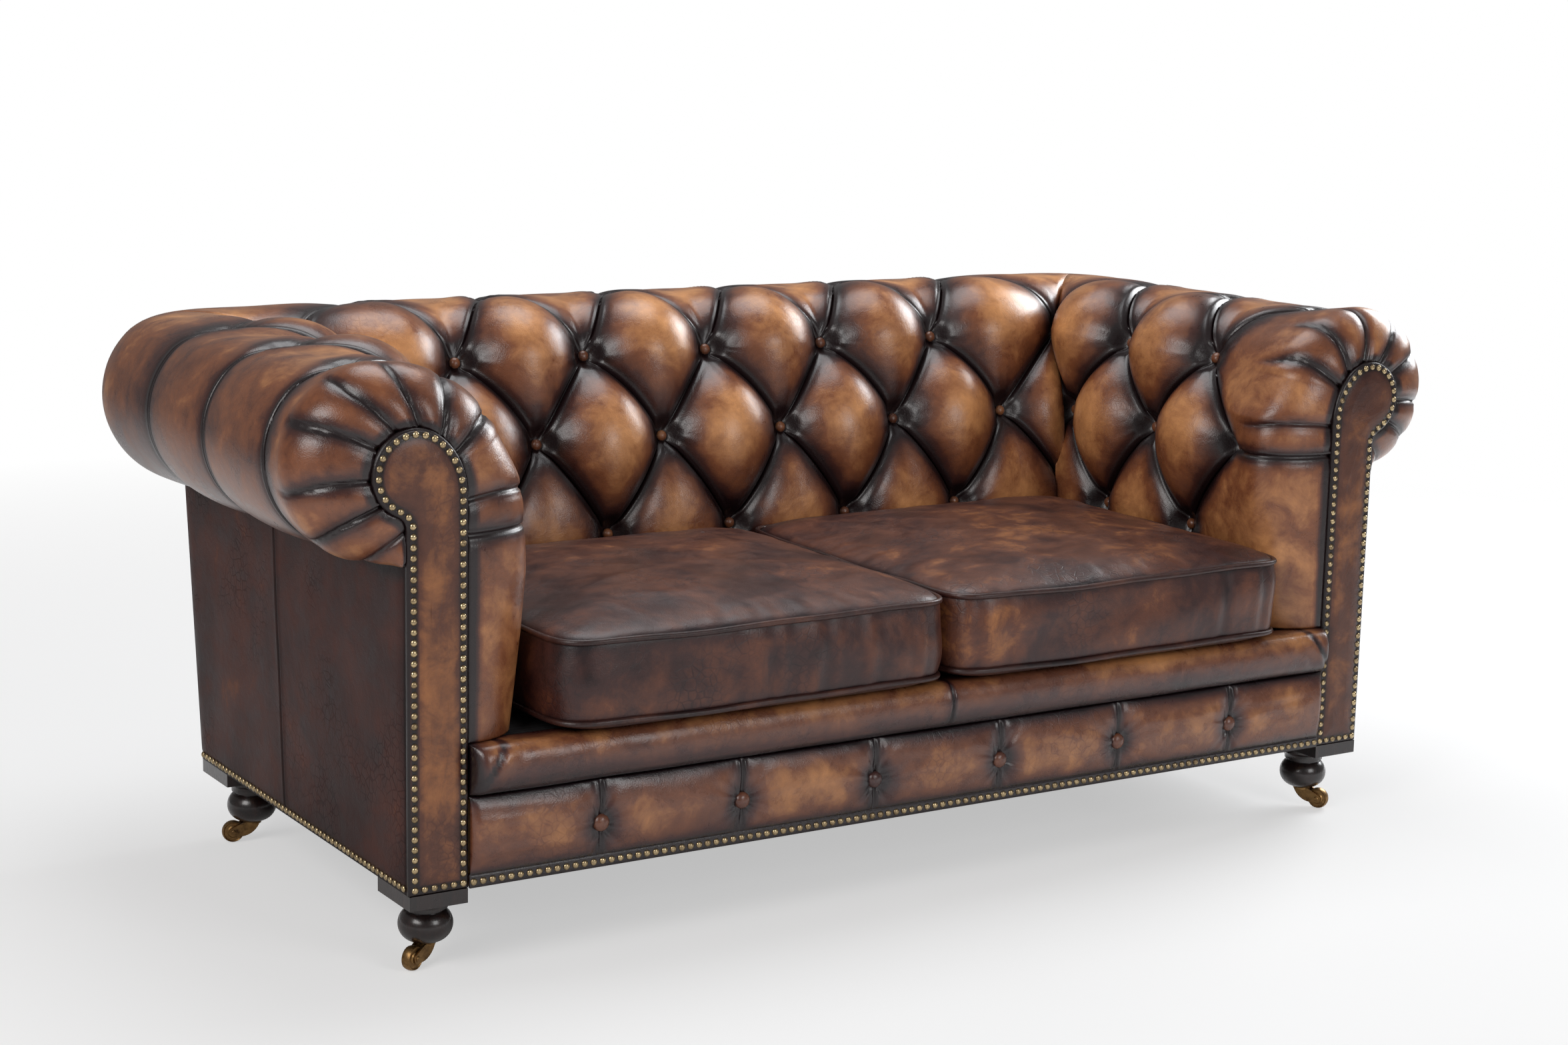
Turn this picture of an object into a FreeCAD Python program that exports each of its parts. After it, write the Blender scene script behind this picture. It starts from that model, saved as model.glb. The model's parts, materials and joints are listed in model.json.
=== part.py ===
"""A rolled-arm chesterfield sofa, deep-buttoned, on bun feet with brass casters.

Millimetres. X runs across the sofa, Y from its front to its back and Z up. The origin lies on
the floor under the middle of the whole sofa. Every height is built up from the floor through
the casters, the feet and the corner blocks to the bottom of the frame, and every depth from
the front face of the base.
"""
import FreeCAD, Part

import math
import os

import Sketcher
from FreeCAD import Placement, Rotation, Vector

SIZES = (
    ("base_width", 1600, "across the outside arm panels"),
    ("base_depth", 727, "front of the facings to the outside back, at the bottom"),
    ("back_rake", 7.25, "lean of the outside back, in degrees"),
    ("caster_height", 32.5, "floor to the underside of a bun foot"),
    ("foot_height", 61.5, "height of a bun foot"),
    ("block_height", 19, "height of a corner block"),
    ("block_width", 80, "corner block, across"),
    ("block_depth", 98, "corner block, front to back"),
    ("block_tongue", 3, "how far a corner block is housed in its side rail"),
    ("rail_height", 114, "height of the base rails"),
    ("rail_thickness", 25, "thickness of the frame timbers"),
    ("tack_rail_height", 45, "height of the tack rails"),
    ("rear_post_depth", 40, "rear posts, front to back"),
    ("centre_rail_height", 76, "height of the middle cross rail"),
    ("panel_thickness", 8, "covered panels on the outside of the frame"),
    ("deck_height", 187, "bottom of the frame to the top of the seat deck"),
    ("spring_lift", 6.4, "base rails to the seat deck, the room for the springs and their clips"),
    ("edge_roll_depth", 58, "front edge roll, front to back"),
    ("edge_roll_swell", 28.5, "how far the edge roll bulges forward"),
    ("apron_swell", 17, "how far the apron stands proud between its channels"),
    ("apron_channel", 3.5, "how far the apron stands proud in its channels"),
    ("apron_pitch", 213, "distance between apron buttons"),
    ("apron_button_height", 61, "apron buttons above the bottom of the frame"),
    ("apron_button_width", 23, "diameter of an apron button"),
    ("facing_width", 82.5, "width of an arm facing below its scroll"),
    ("scroll_height", 535, "centre of the scroll above the bottom of the frame"),
    ("scroll_inset", 12, "centre of the scroll inside the outside arm panel"),
    ("scroll_radius", 57, "round head of the scroll"),
    ("shoulder_radius", 93, "inner shoulder of the scroll"),
    ("neck_radius", 17, "hollow under the scroll"),
    ("roll_rise", 7, "centre of the arm and back rolls above the centre of the scroll"),
    ("roll_radius", 123, "outer radius of the rolls"),
    ("roll_corner", 80, "bend of the rolls' centre line at the rear corners"),
    ("arm_roll_outset", 12, "centre of the arm roll outside the outside arm panel"),
    ("back_roll_outset", 46.5, "centre of the back roll behind the base"),
    ("roll_core_width", 80, "top rail inside a roll, across"),
    ("roll_core_height", 72, "top rail inside a roll, up"),
    ("low_row_rise", 126, "lowest row of buttons above the seat deck"),
    ("mid_row_drop", 90, "middle row of buttons below the centre of the rolls"),
    ("high_row_rise", 31, "highest row of buttons above the centre of the rolls"),
    ("arm_low_depth", 141, "lowest arm buttons inside the outside arm panel"),
    ("arm_mid_depth", 135, "middle arm buttons"),
    ("arm_high_depth", 109, "highest arm buttons"),
    ("back_low_depth", 155.5, "lowest back buttons in front of the back of the base"),
    ("back_mid_depth", 128.5, "middle back buttons"),
    ("back_high_depth", 74, "highest back buttons"),
    ("roll_tuft_sink", 19, "how deep the pleats start in the top of a roll"),
    ("roll_pleat_sink", 7, "depth of the pleats round the outside of a roll"),
    ("back_corner_inset", 157.4, "corner pleat of the back inside the outside arm panel"),
    ("arm_corner_inset", 70.5, "corner pleat of an arm in front of the back of the base"),
    ("arm_pitch", 207.5, "distance between the buttons of an arm"),
    ("arm_front_swell", 108, "fullest point of an arm's front inside its facing edge"),
    ("pad_fullness", 34, "swell of a pad between the seat and its middle buttons"),
    ("button_width", 17, "diameter of a back or arm button"),
    ("nail_width", 9.5, "head of a brass nail"),
    ("nail_pitch", 13.2, "distance between nails"),
    ("nail_inset", 8, "nails inside the edge of what they hold"),
    ("nail_length", 14, "shank of a nail"),
    ("cushion_overhang", 45, "cushion front in front of the base"),
    ("cushion_clearance", 2, "cushion to the fullest point of an arm, and half of it to the other cushion"),
    ("cushion_border", 106, "between the bottom and the top piping"),
    ("cushion_lift", 0.3, "gap between a loose cushion and the seat deck"),
    ("cushion_foot", 16, "bottom piping above the seat deck"),
    ("cushion_crown", 38, "crown of a cushion above its top piping"),
    ("cushion_corner", 28, "corner radius of a cushion"),
    ("cushion_draw", 5, "how far the sides are drawn in between the corners"),
    ("piping_radius", 4, "radius of the piping"),
    ("foot_radius", 35.2, "fullest part of a bun foot"),
    ("foot_neck_radius", 27, "neck of a bun foot"),
    ("foot_seat_radius", 17, "underside of a bun foot"),
    ("foot_side_inset", 49.5, "foot inside the outside arm panel"),
    ("foot_front_inset", 60.5, "front foot behind the front of the base"),
    ("foot_back_inset", 68.5, "rear foot in front of the back of the base"),
    ("wheel_radius", 16, "caster wheel"),
    ("wheel_width", 13, "caster wheel"),
    ("caster_trail", 28, "wheel axle to the swivel axis"),
    ("caster_plate", 3, "thickness of the fork's round plate"),
    ("plate_radius", 13, "radius of the fork's round plate"),
    ("cheek_thickness", 2.2, "thickness of the fork's cheeks"),
    ("axle_radius", 2, "wheel axle"),
    ("stem_radius", 4, "swivel stem"),
    ("stem_length", 30, "swivel stem above the fork's plate"),
    ("socket_wall", 1.5, "wall of the brass socket"),
    ("running_gap", 0.05, "radial gap of the turning fits"),
    ("swivel_gap", 0.6, "between the fork's plate and the socket's flange"),
    ("wire_radius", 1.7, "spring wire"),
    ("cover_thickness", 1, "dust cover under the springs"),
    ("spring_pitch", 190, "distance between the seat springs"),
    ("front_left_turn", 208.8, "direction in which the front left caster trails, in degrees"),
    ("front_right_turn", 296.7, "the same for the front right caster"),
    ("rear_left_turn", 166.4, "the same for the rear left caster"),
    ("rear_right_turn", 250, "the same for the rear right caster"),
)
BACK_COLUMNS = 6
ARM_TUFT_STEPS = 5
APRON_BUTTONS = 6

document = FreeCAD.newDocument("chesterfield_sofa")
dims = document.addObject("Spreadsheet::Sheet", "dims")
for row, (name, number, meaning) in enumerate(SIZES, start=1):
    dims.set("A%d" % row, name)
    dims.set("B%d" % row, str(number))
    dims.setAlias("B%d" % row, name)
    dims.set("C%d" % row, meaning)
document.recompute()

# Places that several pieces share, as expressions on the sheet
HALF = "dims.base_width / 2"
FRONT = ("((dims.cushion_overhang - dims.base_depth - dims.back_roll_outset"
         " - dims.roll_radius) / 2)")
BACK = "(%s + dims.base_depth)" % FRONT
BASE = "(dims.caster_height + dims.foot_height + dims.block_height)"
DECK = "(%s + dims.deck_height)" % BASE
RAIL_FRONT = "(%s + dims.panel_thickness)" % FRONT
RAIL_REAR = "(%s - dims.panel_thickness)" % BACK
SIDE = "(%s - dims.panel_thickness)" % HALF
FACING_EDGE = "(%s - dims.facing_width)" % HALF
POST_EDGE = "(%s + dims.panel_thickness)" % FACING_EDGE
ROLL_HEIGHT = "(%s + dims.scroll_height + dims.roll_rise)" % BASE
CORE_TOP = "(%s + dims.roll_core_height / 2 - 6)" % ROLL_HEIGHT
CORE_BOTTOM = "(%s - dims.roll_core_height)" % CORE_TOP
ARM_ROLL = "(%s + dims.arm_roll_outset)" % HALF
BACK_ROLL = "(%s + dims.back_roll_outset)" % BACK
CORE_INNER = "dims.roll_core_width * 0.83"
ARM_FULLEST = "(%s - dims.arm_front_swell)" % FACING_EDGE


def size(expression):
    """The value of an expression on the sheet."""
    return float(dims.evalExpression(expression))


nodes = []


def keep(piece, label):
    """Label a finished piece and list it among the nodes."""
    piece.Label = label
    nodes.append(piece)
    return piece


def board(label, low, high):
    """A straight timber or sheet between two corners."""
    piece = document.addObject("Part::Box", label)
    for edge, axis, start, end in zip(("Length", "Width", "Height"), "xyz", low, high):
        piece.setExpression(edge, "%s - (%s)" % (end, start))
        piece.setExpression("Placement.Base." + axis, start)
    return piece


def mirrored(piece, label):
    """The left hand copy of a right hand piece."""
    copy = document.addObject("Part::Mirroring", label)
    copy.Source = piece
    copy.Normal = Vector(1, 0, 0)
    return keep(copy, label)


def shaped(label, shape):
    """A piece whose shape is worked out here from the sheet."""
    piece = document.addObject("Part::Feature", label)
    piece.Shape = shape
    return piece


def pair(right):
    """List a right hand piece and its left hand copy."""
    stem = right.Label
    keep(right, stem + "_right")
    mirrored(right, stem + "_left")


def plane(body, role):
    """One of a body's own origin planes."""
    return next(item for item in body.Origin.OriginFeatures if item.Role == role)


def new_sketch(body, role, name):
    """A sketch lying on one of the body's origin planes."""
    sketch = body.newObject("Sketcher::SketchObject", name)
    sketch.AttachmentSupport = (plane(body, role), [""])
    sketch.MapMode = "FlatFace"
    return sketch


def fix(sketch, kind, expression, *where):
    """A dimension of a sketch, bound to an expression."""
    index = sketch.addConstraint(Sketcher.Constraint(kind, *where, size(expression)))
    name = "size_%d" % index
    sketch.renameConstraint(index, name)
    sketch.setExpression("Constraints." + name, expression)


def arc_between(start, end, radius, turn):
    """The short arc from start to end, to the left for a turn of 1 and to the right for -1."""
    chord = end - start
    reach = math.sqrt(radius ** 2 - (chord.Length / 2) ** 2)
    aside = Vector(-chord.y, chord.x, 0).normalize() * reach * turn
    centre = (start + end) / 2 + aside
    first, last = (start, end) if turn > 0 else (end, start)
    angles = [math.atan2(point.y - centre.y, point.x - centre.x) for point in (first, last)]
    return Part.ArcOfCircle(Part.Circle(centre, Vector(0, 0, 1), radius), *angles)


def outline(sketch, corners):
    """A closed outline through corners given as expressions.

    A corner is (across, up), or (across, up, radius, turn) where an arc runs on to the next.
    """
    points = [Vector(size(corner[0]), size(corner[1]), 0) for corner in corners]
    count = len(points)
    first_end = []
    for index, corner in enumerate(corners):
        start, end = points[index], points[(index + 1) % count]
        if len(corner) == 4:
            sketch.addGeometry(arc_between(start, end, size(corner[2]), corner[3]), False)
            first_end.append(1 if corner[3] > 0 else 2)
        else:
            sketch.addGeometry(Part.LineSegment(start, end), False)
            first_end.append(1)
    for index in range(count):
        follower = (index + 1) % count
        joint = (index, 3 - first_end[index], follower, first_end[follower])
        sketch.addConstraint(Sketcher.Constraint("Coincident", *joint))
    for index, corner in enumerate(corners):
        fix(sketch, "DistanceX", corner[0], -1, 1, index, first_end[index])
        fix(sketch, "DistanceY", corner[1], -1, 1, index, first_end[index])
        if len(corner) == 4:
            fix(sketch, "Radius", corner[2], index)


def profile_body(label, role, corners, length):
    """A body made by padding one outline along its plane's normal."""
    body = document.addObject("PartDesign::Body", label)
    sketch = new_sketch(body, role, label + "_outline")
    outline(sketch, corners)
    pad = body.newObject("PartDesign::Pad", label + "_pad")
    pad.Profile = sketch
    pad.setExpression("Length", length)
    return body


def turned_body(label, role, corners):
    """A body turned round the second axis of its plane from a half outline."""
    body = document.addObject("PartDesign::Body", label)
    sketch = new_sketch(body, role, label + "_outline")
    outline(sketch, corners)
    turning = body.newObject("PartDesign::Revolution", label + "_turning")
    turning.Profile = sketch
    turning.ReferenceAxis = (sketch, ["V_Axis"])
    turning.Angle = 360
    return body


def stand(piece, across=None, along=None, up=None, turn=None):
    """Bind the place of a piece, and its turn round Z, to expressions."""
    if turn is not None:
        piece.Placement = Placement(Vector(), Rotation(Vector(0, 0, 1), 45))
        piece.setExpression("Placement.Rotation.Angle", turn)
    for axis, place in zip("xyz", (across, along, up)):
        if place is not None:
            piece.setExpression("Placement.Base." + axis, place)
    return piece


def group(label, pieces):
    """Like pieces that share one node."""
    together = document.addObject("Part::Compound", label)
    together.Links = pieces
    return keep(together, label)


# The hardwood frame
POST_REAR = "(%s + dims.rail_thickness)" % RAIL_FRONT
CORE_FRONT = "(%s - %s)" % (BACK_ROLL, CORE_INNER)
CORE_REAR = "(%s + dims.roll_core_width)" % CORE_FRONT
CORE_SIDE = "(%s - %s)" % (ARM_ROLL, CORE_INNER)
BACK_INNER = "(%s - dims.rear_post_depth)" % CORE_FRONT
RAIL_TOP = "(%s + dims.rail_height)" % BASE
SEAT_FOOT = "(%s + dims.spring_lift)" % RAIL_TOP
RAIL_BACK_INNER = "(%s - dims.rail_thickness)" % RAIL_REAR
BLOCK_MARGIN = "dims.panel_thickness / 8"
BLOCK_FRONT = "(%s + %s)" % (FRONT, BLOCK_MARGIN)
BLOCK_REAR = "(%s - %s)" % (BACK, BLOCK_MARGIN)
TONGUE_FRONT = "(%s + dims.block_depth)" % BLOCK_FRONT
TONGUE_REAR = "(%s - dims.block_depth)" % BLOCK_REAR
TONGUE_TOP = "(%s + dims.block_tongue)" % BASE
RAIL_INNER = "(%s - dims.rail_thickness)" % SIDE
LEAN = "tan(dims.back_rake)"

keep(board("front_rail", ("-" + POST_EDGE, RAIL_FRONT, BASE), (POST_EDGE, POST_REAR, RAIL_TOP)),
     "front_rail")
keep(board("back_rail", ("-" + RAIL_INNER, RAIL_BACK_INNER, BASE),
           (RAIL_INNER, RAIL_REAR, RAIL_TOP)), "back_rail")
pair(stand(profile_body("side_rail", "YZ_Plane", (
    (POST_REAR, TONGUE_TOP), (TONGUE_FRONT, TONGUE_TOP), (TONGUE_FRONT, BASE), (TONGUE_REAR, BASE),
    (TONGUE_REAR, TONGUE_TOP), (RAIL_REAR, TONGUE_TOP), (RAIL_REAR, RAIL_TOP),
    (POST_REAR, RAIL_TOP)), "dims.rail_thickness"), RAIL_INNER))
keep(board("centre_rail",
           ("-dims.rail_thickness / 2", POST_REAR, "%s + dims.cover_thickness" % BASE),
           ("dims.rail_thickness / 2", RAIL_BACK_INNER,
            "%s + dims.cover_thickness + dims.centre_rail_height" % BASE)), "centre_rail")
pair(board("arm_top_rail", (CORE_SIDE, POST_REAR, CORE_BOTTOM),
           ("%s + dims.roll_core_width" % CORE_SIDE, CORE_REAR, CORE_TOP)))
pair(board("arm_post_rear", (POST_EDGE, BACK_INNER, RAIL_TOP), (SIDE, CORE_FRONT, CORE_BOTTOM)))
pair(board("arm_tack_rail", (POST_EDGE, POST_REAR, DECK),
           ("%s + dims.rail_thickness" % POST_EDGE, BACK_INNER,
            "%s + dims.tack_rail_height" % DECK)))
keep(board("back_top_rail", ("-" + CORE_SIDE, CORE_FRONT, CORE_BOTTOM),
           (CORE_SIDE, CORE_REAR, CORE_TOP)), "back_top_rail")
back_tack_rail = keep(board("back_tack_rail", ("-" + POST_EDGE, BACK_INNER, DECK),
                            (POST_EDGE, "%s + dims.rail_thickness" % BACK_INNER,
                             "%s + dims.tack_rail_height" % DECK)), "back_tack_rail")

uprights = []
for number, side in enumerate((-1, 1), start=1):
    upright = profile_body("back_upright_%d" % number, "YZ_Plane", (
        (RAIL_BACK_INNER, RAIL_TOP),
        (RAIL_REAR, RAIL_TOP),
        ("%s + %s * (%s - %s)" % (RAIL_REAR, LEAN, CORE_BOTTOM, BASE), CORE_BOTTOM),
        (CORE_FRONT, CORE_BOTTOM)), "dims.rail_thickness")
    stand(upright, "%d * 2 * dims.spring_pitch - dims.rail_thickness / 2" % side)
    uprights.append(upright)
group("back_uprights", uprights)


def scroll_numbers(grow):
    """Centres, radii and meeting points of an arm front's outline, wider all round by grow."""
    head = Vector(size("%s - dims.scroll_inset" % HALF), size("%s + dims.scroll_height" % BASE), 0)
    head_radius = size("dims.scroll_radius") + grow
    shoulder_radius = size("dims.shoulder_radius") + grow
    neck_radius = size("dims.neck_radius") - grow
    inner = size(FACING_EDGE) - grow
    outer = size(HALF) + grow
    shoulder = Vector(inner + shoulder_radius, 0, 0)
    shoulder.y = head.y - math.sqrt((shoulder_radius - head_radius) ** 2 - (shoulder.x - head.x) ** 2)
    neck = Vector(outer + neck_radius, 0, 0)
    neck.y = head.y - math.sqrt((head_radius + neck_radius) ** 2 - (neck.x - head.x) ** 2)
    crown = shoulder + (head - shoulder).normalize() * shoulder_radius
    throat = neck + (head - neck).normalize() * neck_radius
    return {"head": head, "head_radius": head_radius, "shoulder": shoulder,
            "shoulder_radius": shoulder_radius, "neck": neck, "neck_radius": neck_radius,
            "inner": inner, "outer": outer, "crown": crown, "throat": throat}


def angle_at(centre, point):
    """Direction of a point from a centre, in radians."""
    return math.atan2(point.y - centre.y, point.x - centre.x)


def scroll_body(label, grow, back, thickness):
    """A board with the arm front's outline, its rear face at back."""
    shape = scroll_numbers(size(grow))
    head, shoulder, neck = shape["head"], shape["shoulder"], shape["neck"]
    crown, throat = shape["crown"], shape["throat"]
    foot = size(BASE)
    body = document.addObject("PartDesign::Body", label)
    sketch = new_sketch(body, "XZ_Plane", label + "_outline")
    up = Vector(0, 0, 1)
    sketch.addGeometry([
        Part.LineSegment(Vector(shape["inner"], foot, 0), Vector(shape["outer"], foot, 0)),
        Part.LineSegment(Vector(shape["outer"], foot, 0), Vector(shape["outer"], neck.y, 0)),
        Part.ArcOfCircle(Part.Circle(neck, up, shape["neck_radius"]),
                         angle_at(neck, throat), math.pi),
        Part.ArcOfCircle(Part.Circle(head, up, shape["head_radius"]),
                         angle_at(head, throat), angle_at(head, crown)),
        Part.ArcOfCircle(Part.Circle(shoulder, up, shape["shoulder_radius"]),
                         angle_at(shoulder, crown), math.pi),
        Part.LineSegment(Vector(shape["inner"], shoulder.y, 0), Vector(shape["inner"], foot, 0)),
    ], False)
    for joint in ((1, 2, 2, 2), (2, 1, 3, 1), (3, 2, 4, 1), (4, 2, 5, 1)):
        sketch.addConstraint(Sketcher.Constraint("Tangent", *joint))
    sketch.addConstraint(Sketcher.Constraint("Coincident", 5, 2, 0, 1))
    sketch.addConstraint(Sketcher.Constraint("Coincident", 0, 2, 1, 1))
    sketch.addConstraint(Sketcher.Constraint("Horizontal", 0))
    sketch.addConstraint(Sketcher.Constraint("Vertical", 1))
    sketch.addConstraint(Sketcher.Constraint("Vertical", 5))
    fix(sketch, "Radius", "dims.neck_radius - (%s)" % grow, 2)
    fix(sketch, "Radius", "dims.scroll_radius + %s" % grow, 3)
    fix(sketch, "Radius", "dims.shoulder_radius + %s" % grow, 4)
    fix(sketch, "DistanceX", "%s - (%s)" % (FACING_EDGE, grow), -1, 1, 0, 1)
    fix(sketch, "DistanceX", "%s + %s" % (HALF, grow), -1, 1, 0, 2)
    fix(sketch, "DistanceY", BASE, -1, 1, 0, 1)
    fix(sketch, "DistanceX", "%s - dims.scroll_inset" % HALF, -1, 1, 3, 3)
    fix(sketch, "DistanceY", "%s + dims.scroll_height" % BASE, -1, 1, 3, 3)
    pad = body.newObject("PartDesign::Pad", label + "_pad")
    pad.Profile = sketch
    pad.setExpression("Length", thickness)
    return stand(body, None, back)


post = scroll_body("arm_post_front", "-dims.panel_thickness", POST_REAR, "dims.rail_thickness")
pair(post)
facing = scroll_body("arm_facing", "0", RAIL_FRONT, "dims.panel_thickness")
pair(facing)

# Panels on the outside of the frame
NECK_HEIGHT = ("(%s + dims.scroll_height - sqrt((dims.scroll_radius + dims.neck_radius)^2"
               " - (dims.neck_radius + dims.scroll_inset)^2))" % BASE)
BACK_AT_CORE = "(%s + %s * (%s - %s))" % (BACK, LEAN, CORE_BOTTOM, BASE)
pair(stand(profile_body("outside_arm_panel", "YZ_Plane", (
    (RAIL_FRONT, BASE), (BACK, BASE), (BACK_AT_CORE, CORE_BOTTOM), (POST_REAR, CORE_BOTTOM),
    (POST_REAR, NECK_HEIGHT), (RAIL_FRONT, NECK_HEIGHT)), "dims.panel_thickness"), SIDE))
keep(stand(profile_body("outside_back_panel", "YZ_Plane", (
    (RAIL_REAR, BASE), (BACK, BASE), (BACK_AT_CORE, CORE_BOTTOM),
    ("%s - dims.panel_thickness" % BACK_AT_CORE, CORE_BOTTOM)), "2 * %s" % SIDE), "-" + SIDE),
    "outside_back_panel")

# Deep-buttoned pads. A profile lies in a plane across the pad, the first coordinate running
# from the seat outwards and the second up.
CREASE_GAP = 8
PLEAT_ARCH = 13
OVER_ROLL = 60
GATHER_RIM = 14


def polar(centre, radius, degrees):
    """A point at a distance and direction from a centre."""
    turn = math.radians(degrees)
    return centre + Vector(radius * math.cos(turn), radius * math.sin(turn), 0)


def mixed(start, end, share):
    """A value or point part of the way from start to end."""
    return start + (end - start) * share


def bulged(start, end, swell):
    """The middle of an arc that stands out on the left of the way from start to end."""
    chord = end - start
    return (start + end) / 2 + Vector(-chord.y, chord.x, 0).normalize() * swell


def pad_rows(side_plane, depths, roll, under, inner):
    """The lasting points of a pad's profile."""
    heights = [size(row) for row in ("%s + dims.low_row_rise" % DECK,
                                     "%s - dims.mid_row_drop" % ROLL_HEIGHT,
                                     "%s + dims.high_row_rise" % ROLL_HEIGHT)]
    low, mid, high = [Vector(side_plane - depth, up, 0) for depth, up in zip(depths, heights)]
    radius = size("dims.roll_radius")
    gap = (high - low).normalize() * CREASE_GAP / 2
    core_left = roll.x - size(CORE_INNER)
    core_right = core_left + size("dims.roll_core_width")
    core_low, core_top = size(CORE_BOTTOM), size(CORE_TOP)
    deck = size(DECK) + 1
    return {"foot": Vector(low.x, deck, 0), "low": low, "mid": mid, "high": high, "gap": gap,
            "top": polar(roll, radius - size("dims.roll_tuft_sink"), 90),
            "roll": roll, "radius": radius, "under": under,
            "inside": [inner["panel"], Vector(core_right, core_low, 0),
                       Vector(core_right, core_top, 0), Vector(core_left, core_top, 0),
                       Vector(core_left, core_low, 0), Vector(inner["plane"], core_low, 0),
                       Vector(inner["plane"], deck, 0)]}


def tufted_profile(rows, share, fullness=1.0):
    """Points of a profile: share is 0 at a low and high button, 1 at a middle one."""
    arch = bulged(rows["low"], rows["high"], PLEAT_ARCH * 4 * share * (1 - share))
    proud = arch - (rows["low"] + rows["high"]) / 2
    radius = rows["radius"] - size("dims.roll_pleat_sink") * share
    first = mixed(rows["low"], rows["mid"] - rows["gap"], share) + proud
    second = mixed(rows["high"] - rows["gap"], rows["mid"] + rows["gap"], share) + proud
    third = mixed(rows["high"] + rows["gap"], rows["top"], share) + proud
    over = polar(rows["roll"], radius, OVER_ROLL)
    swells = [size("dims.pad_fullness") * (0.2 + 0.8 * share), 0.155 * (second - first).Length,
              0.19 * (third - second).Length]
    return {"points": [rows["foot"], first, second, third, over, polar(rows["roll"], radius, 0),
                       rows["under"]],
            "swells": [fullness * swell for swell in swells],
            "roll": rows["roll"], "radius": radius}


def front_profile(rows, fullest):
    """The full, unbuttoned puff behind an arm front."""
    mid = Vector(fullest, rows["mid"].y, 0)
    gap = Vector(0, CREASE_GAP / 2, 0)
    foot = Vector(mixed(fullest, rows["low"].x, 0.5), rows["foot"].y, 0)
    shoulder = polar(rows["roll"], rows["radius"] * 1.26, 166)
    return {"points": [foot, mid - gap, mid + gap, shoulder,
                       polar(rows["roll"], rows["radius"], OVER_ROLL),
                       polar(rows["roll"], rows["radius"], 0), rows["under"]],
            "swells": None, "roll": rows["roll"], "radius": rows["radius"]}


def rim_profile(rows):
    """The profile drawn in to the edge of the scroll facing."""
    scroll = scroll_numbers(GATHER_RIM)
    edge = scroll["inner"]
    gap = CREASE_GAP / 2
    head, radius = scroll["head"], scroll["head_radius"]
    return {"points": [Vector(edge, rows["foot"].y, 0), Vector(edge, rows["mid"].y - gap, 0),
                       Vector(edge, rows["mid"].y + gap, 0), scroll["crown"],
                       polar(head, radius, OVER_ROLL), polar(head, radius, 0),
                       polar(head, radius, -80)],
            "swells": None, "roll": head, "radius": radius}


def blended(full, drawn, share):
    """A profile part of the way from a full one to a drawn-in one."""
    return {"points": [mixed(*ends, share) for ends in zip(full["points"], drawn["points"])],
            "swells": None, "roll": mixed(full["roll"], drawn["roll"], share),
            "radius": mixed(full["radius"], drawn["radius"], share)}


def profile_wire(profile, inside, place):
    """The closed wire of a profile, carried into space by place."""
    points, roll, radius = profile["points"], profile["roll"], profile["radius"]
    arcs = []
    for index, (start, end) in enumerate(zip(points[:3], points[1:4])):
        if profile["swells"]:
            swell = profile["swells"][index]
        else:
            swell = max(abs(end.x - start.x) / 4, (end - start).Length / 60)
        arcs.append((start, bulged(start, end, swell), end))
    for start, end in zip(points[3:6], points[4:7]):
        first = math.degrees(angle_at(roll, start))
        last = math.degrees(angle_at(roll, end))
        arcs.append((start, polar(roll, radius, (first + last) / 2), end))
    edges = [Part.Arc(*[place(point) for point in arc]).toShape() for arc in arcs]
    corners = [points[-1]] + inside + [points[0]]
    edges += [Part.makeLine(place(start), place(end)) for start, end in zip(corners, corners[1:])]
    return Part.Wire(edges)


def tall_prism(corners):
    """An upright cutting block over a plan of corners."""
    floor = [Vector(across, along, 0) for across, along in corners]
    face = Part.Face(Part.makePolygon(floor + floor[:1]))
    return face.extrude(Vector(0, 0, 2 * size(CORE_TOP)))


def mitre_block(side, behind):
    """A cutting block bounded by the mitre between an arm roll and the back roll."""
    across, along = size(ARM_ROLL), size(BACK_ROLL)
    reach = size("dims.base_width")
    third = (-reach, reach) if behind else (reach, -reach)
    corners = ((-reach, -reach), third, (reach, reach))
    return tall_prism([(side * (across + x), along + y) for x, y in corners])


def outside_bend(side):
    """What lies outside the rounded bend between an arm roll and the back roll."""
    bend, radius = size("dims.roll_corner"), size("dims.roll_radius")
    axis = Vector(side * (size(ARM_ROLL) - bend), size(BACK_ROLL) - bend, 0)
    reach = 2 * (bend + radius)
    corner = [(0, 0), (side * reach, 0), (side * reach, reach), (0, reach)]
    quadrant = tall_prism([(axis.x + x, axis.y + y) for x, y in corner])
    rise = math.sqrt(radius ** 2 - bend ** 2)
    up = size(ROLL_HEIGHT)
    low, high = Vector(0, 0, up - rise), Vector(0, 0, up + rise)
    edges = [Part.Arc(low, Vector(bend + radius, 0, up), high).toShape(), Part.makeLine(high, low)]
    bent = Part.Face(Part.Wire(edges)).revolve(Vector(), Vector(0, 0, 1), 360)
    bent.translate(axis)
    return quadrant.cut(bent)


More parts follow.
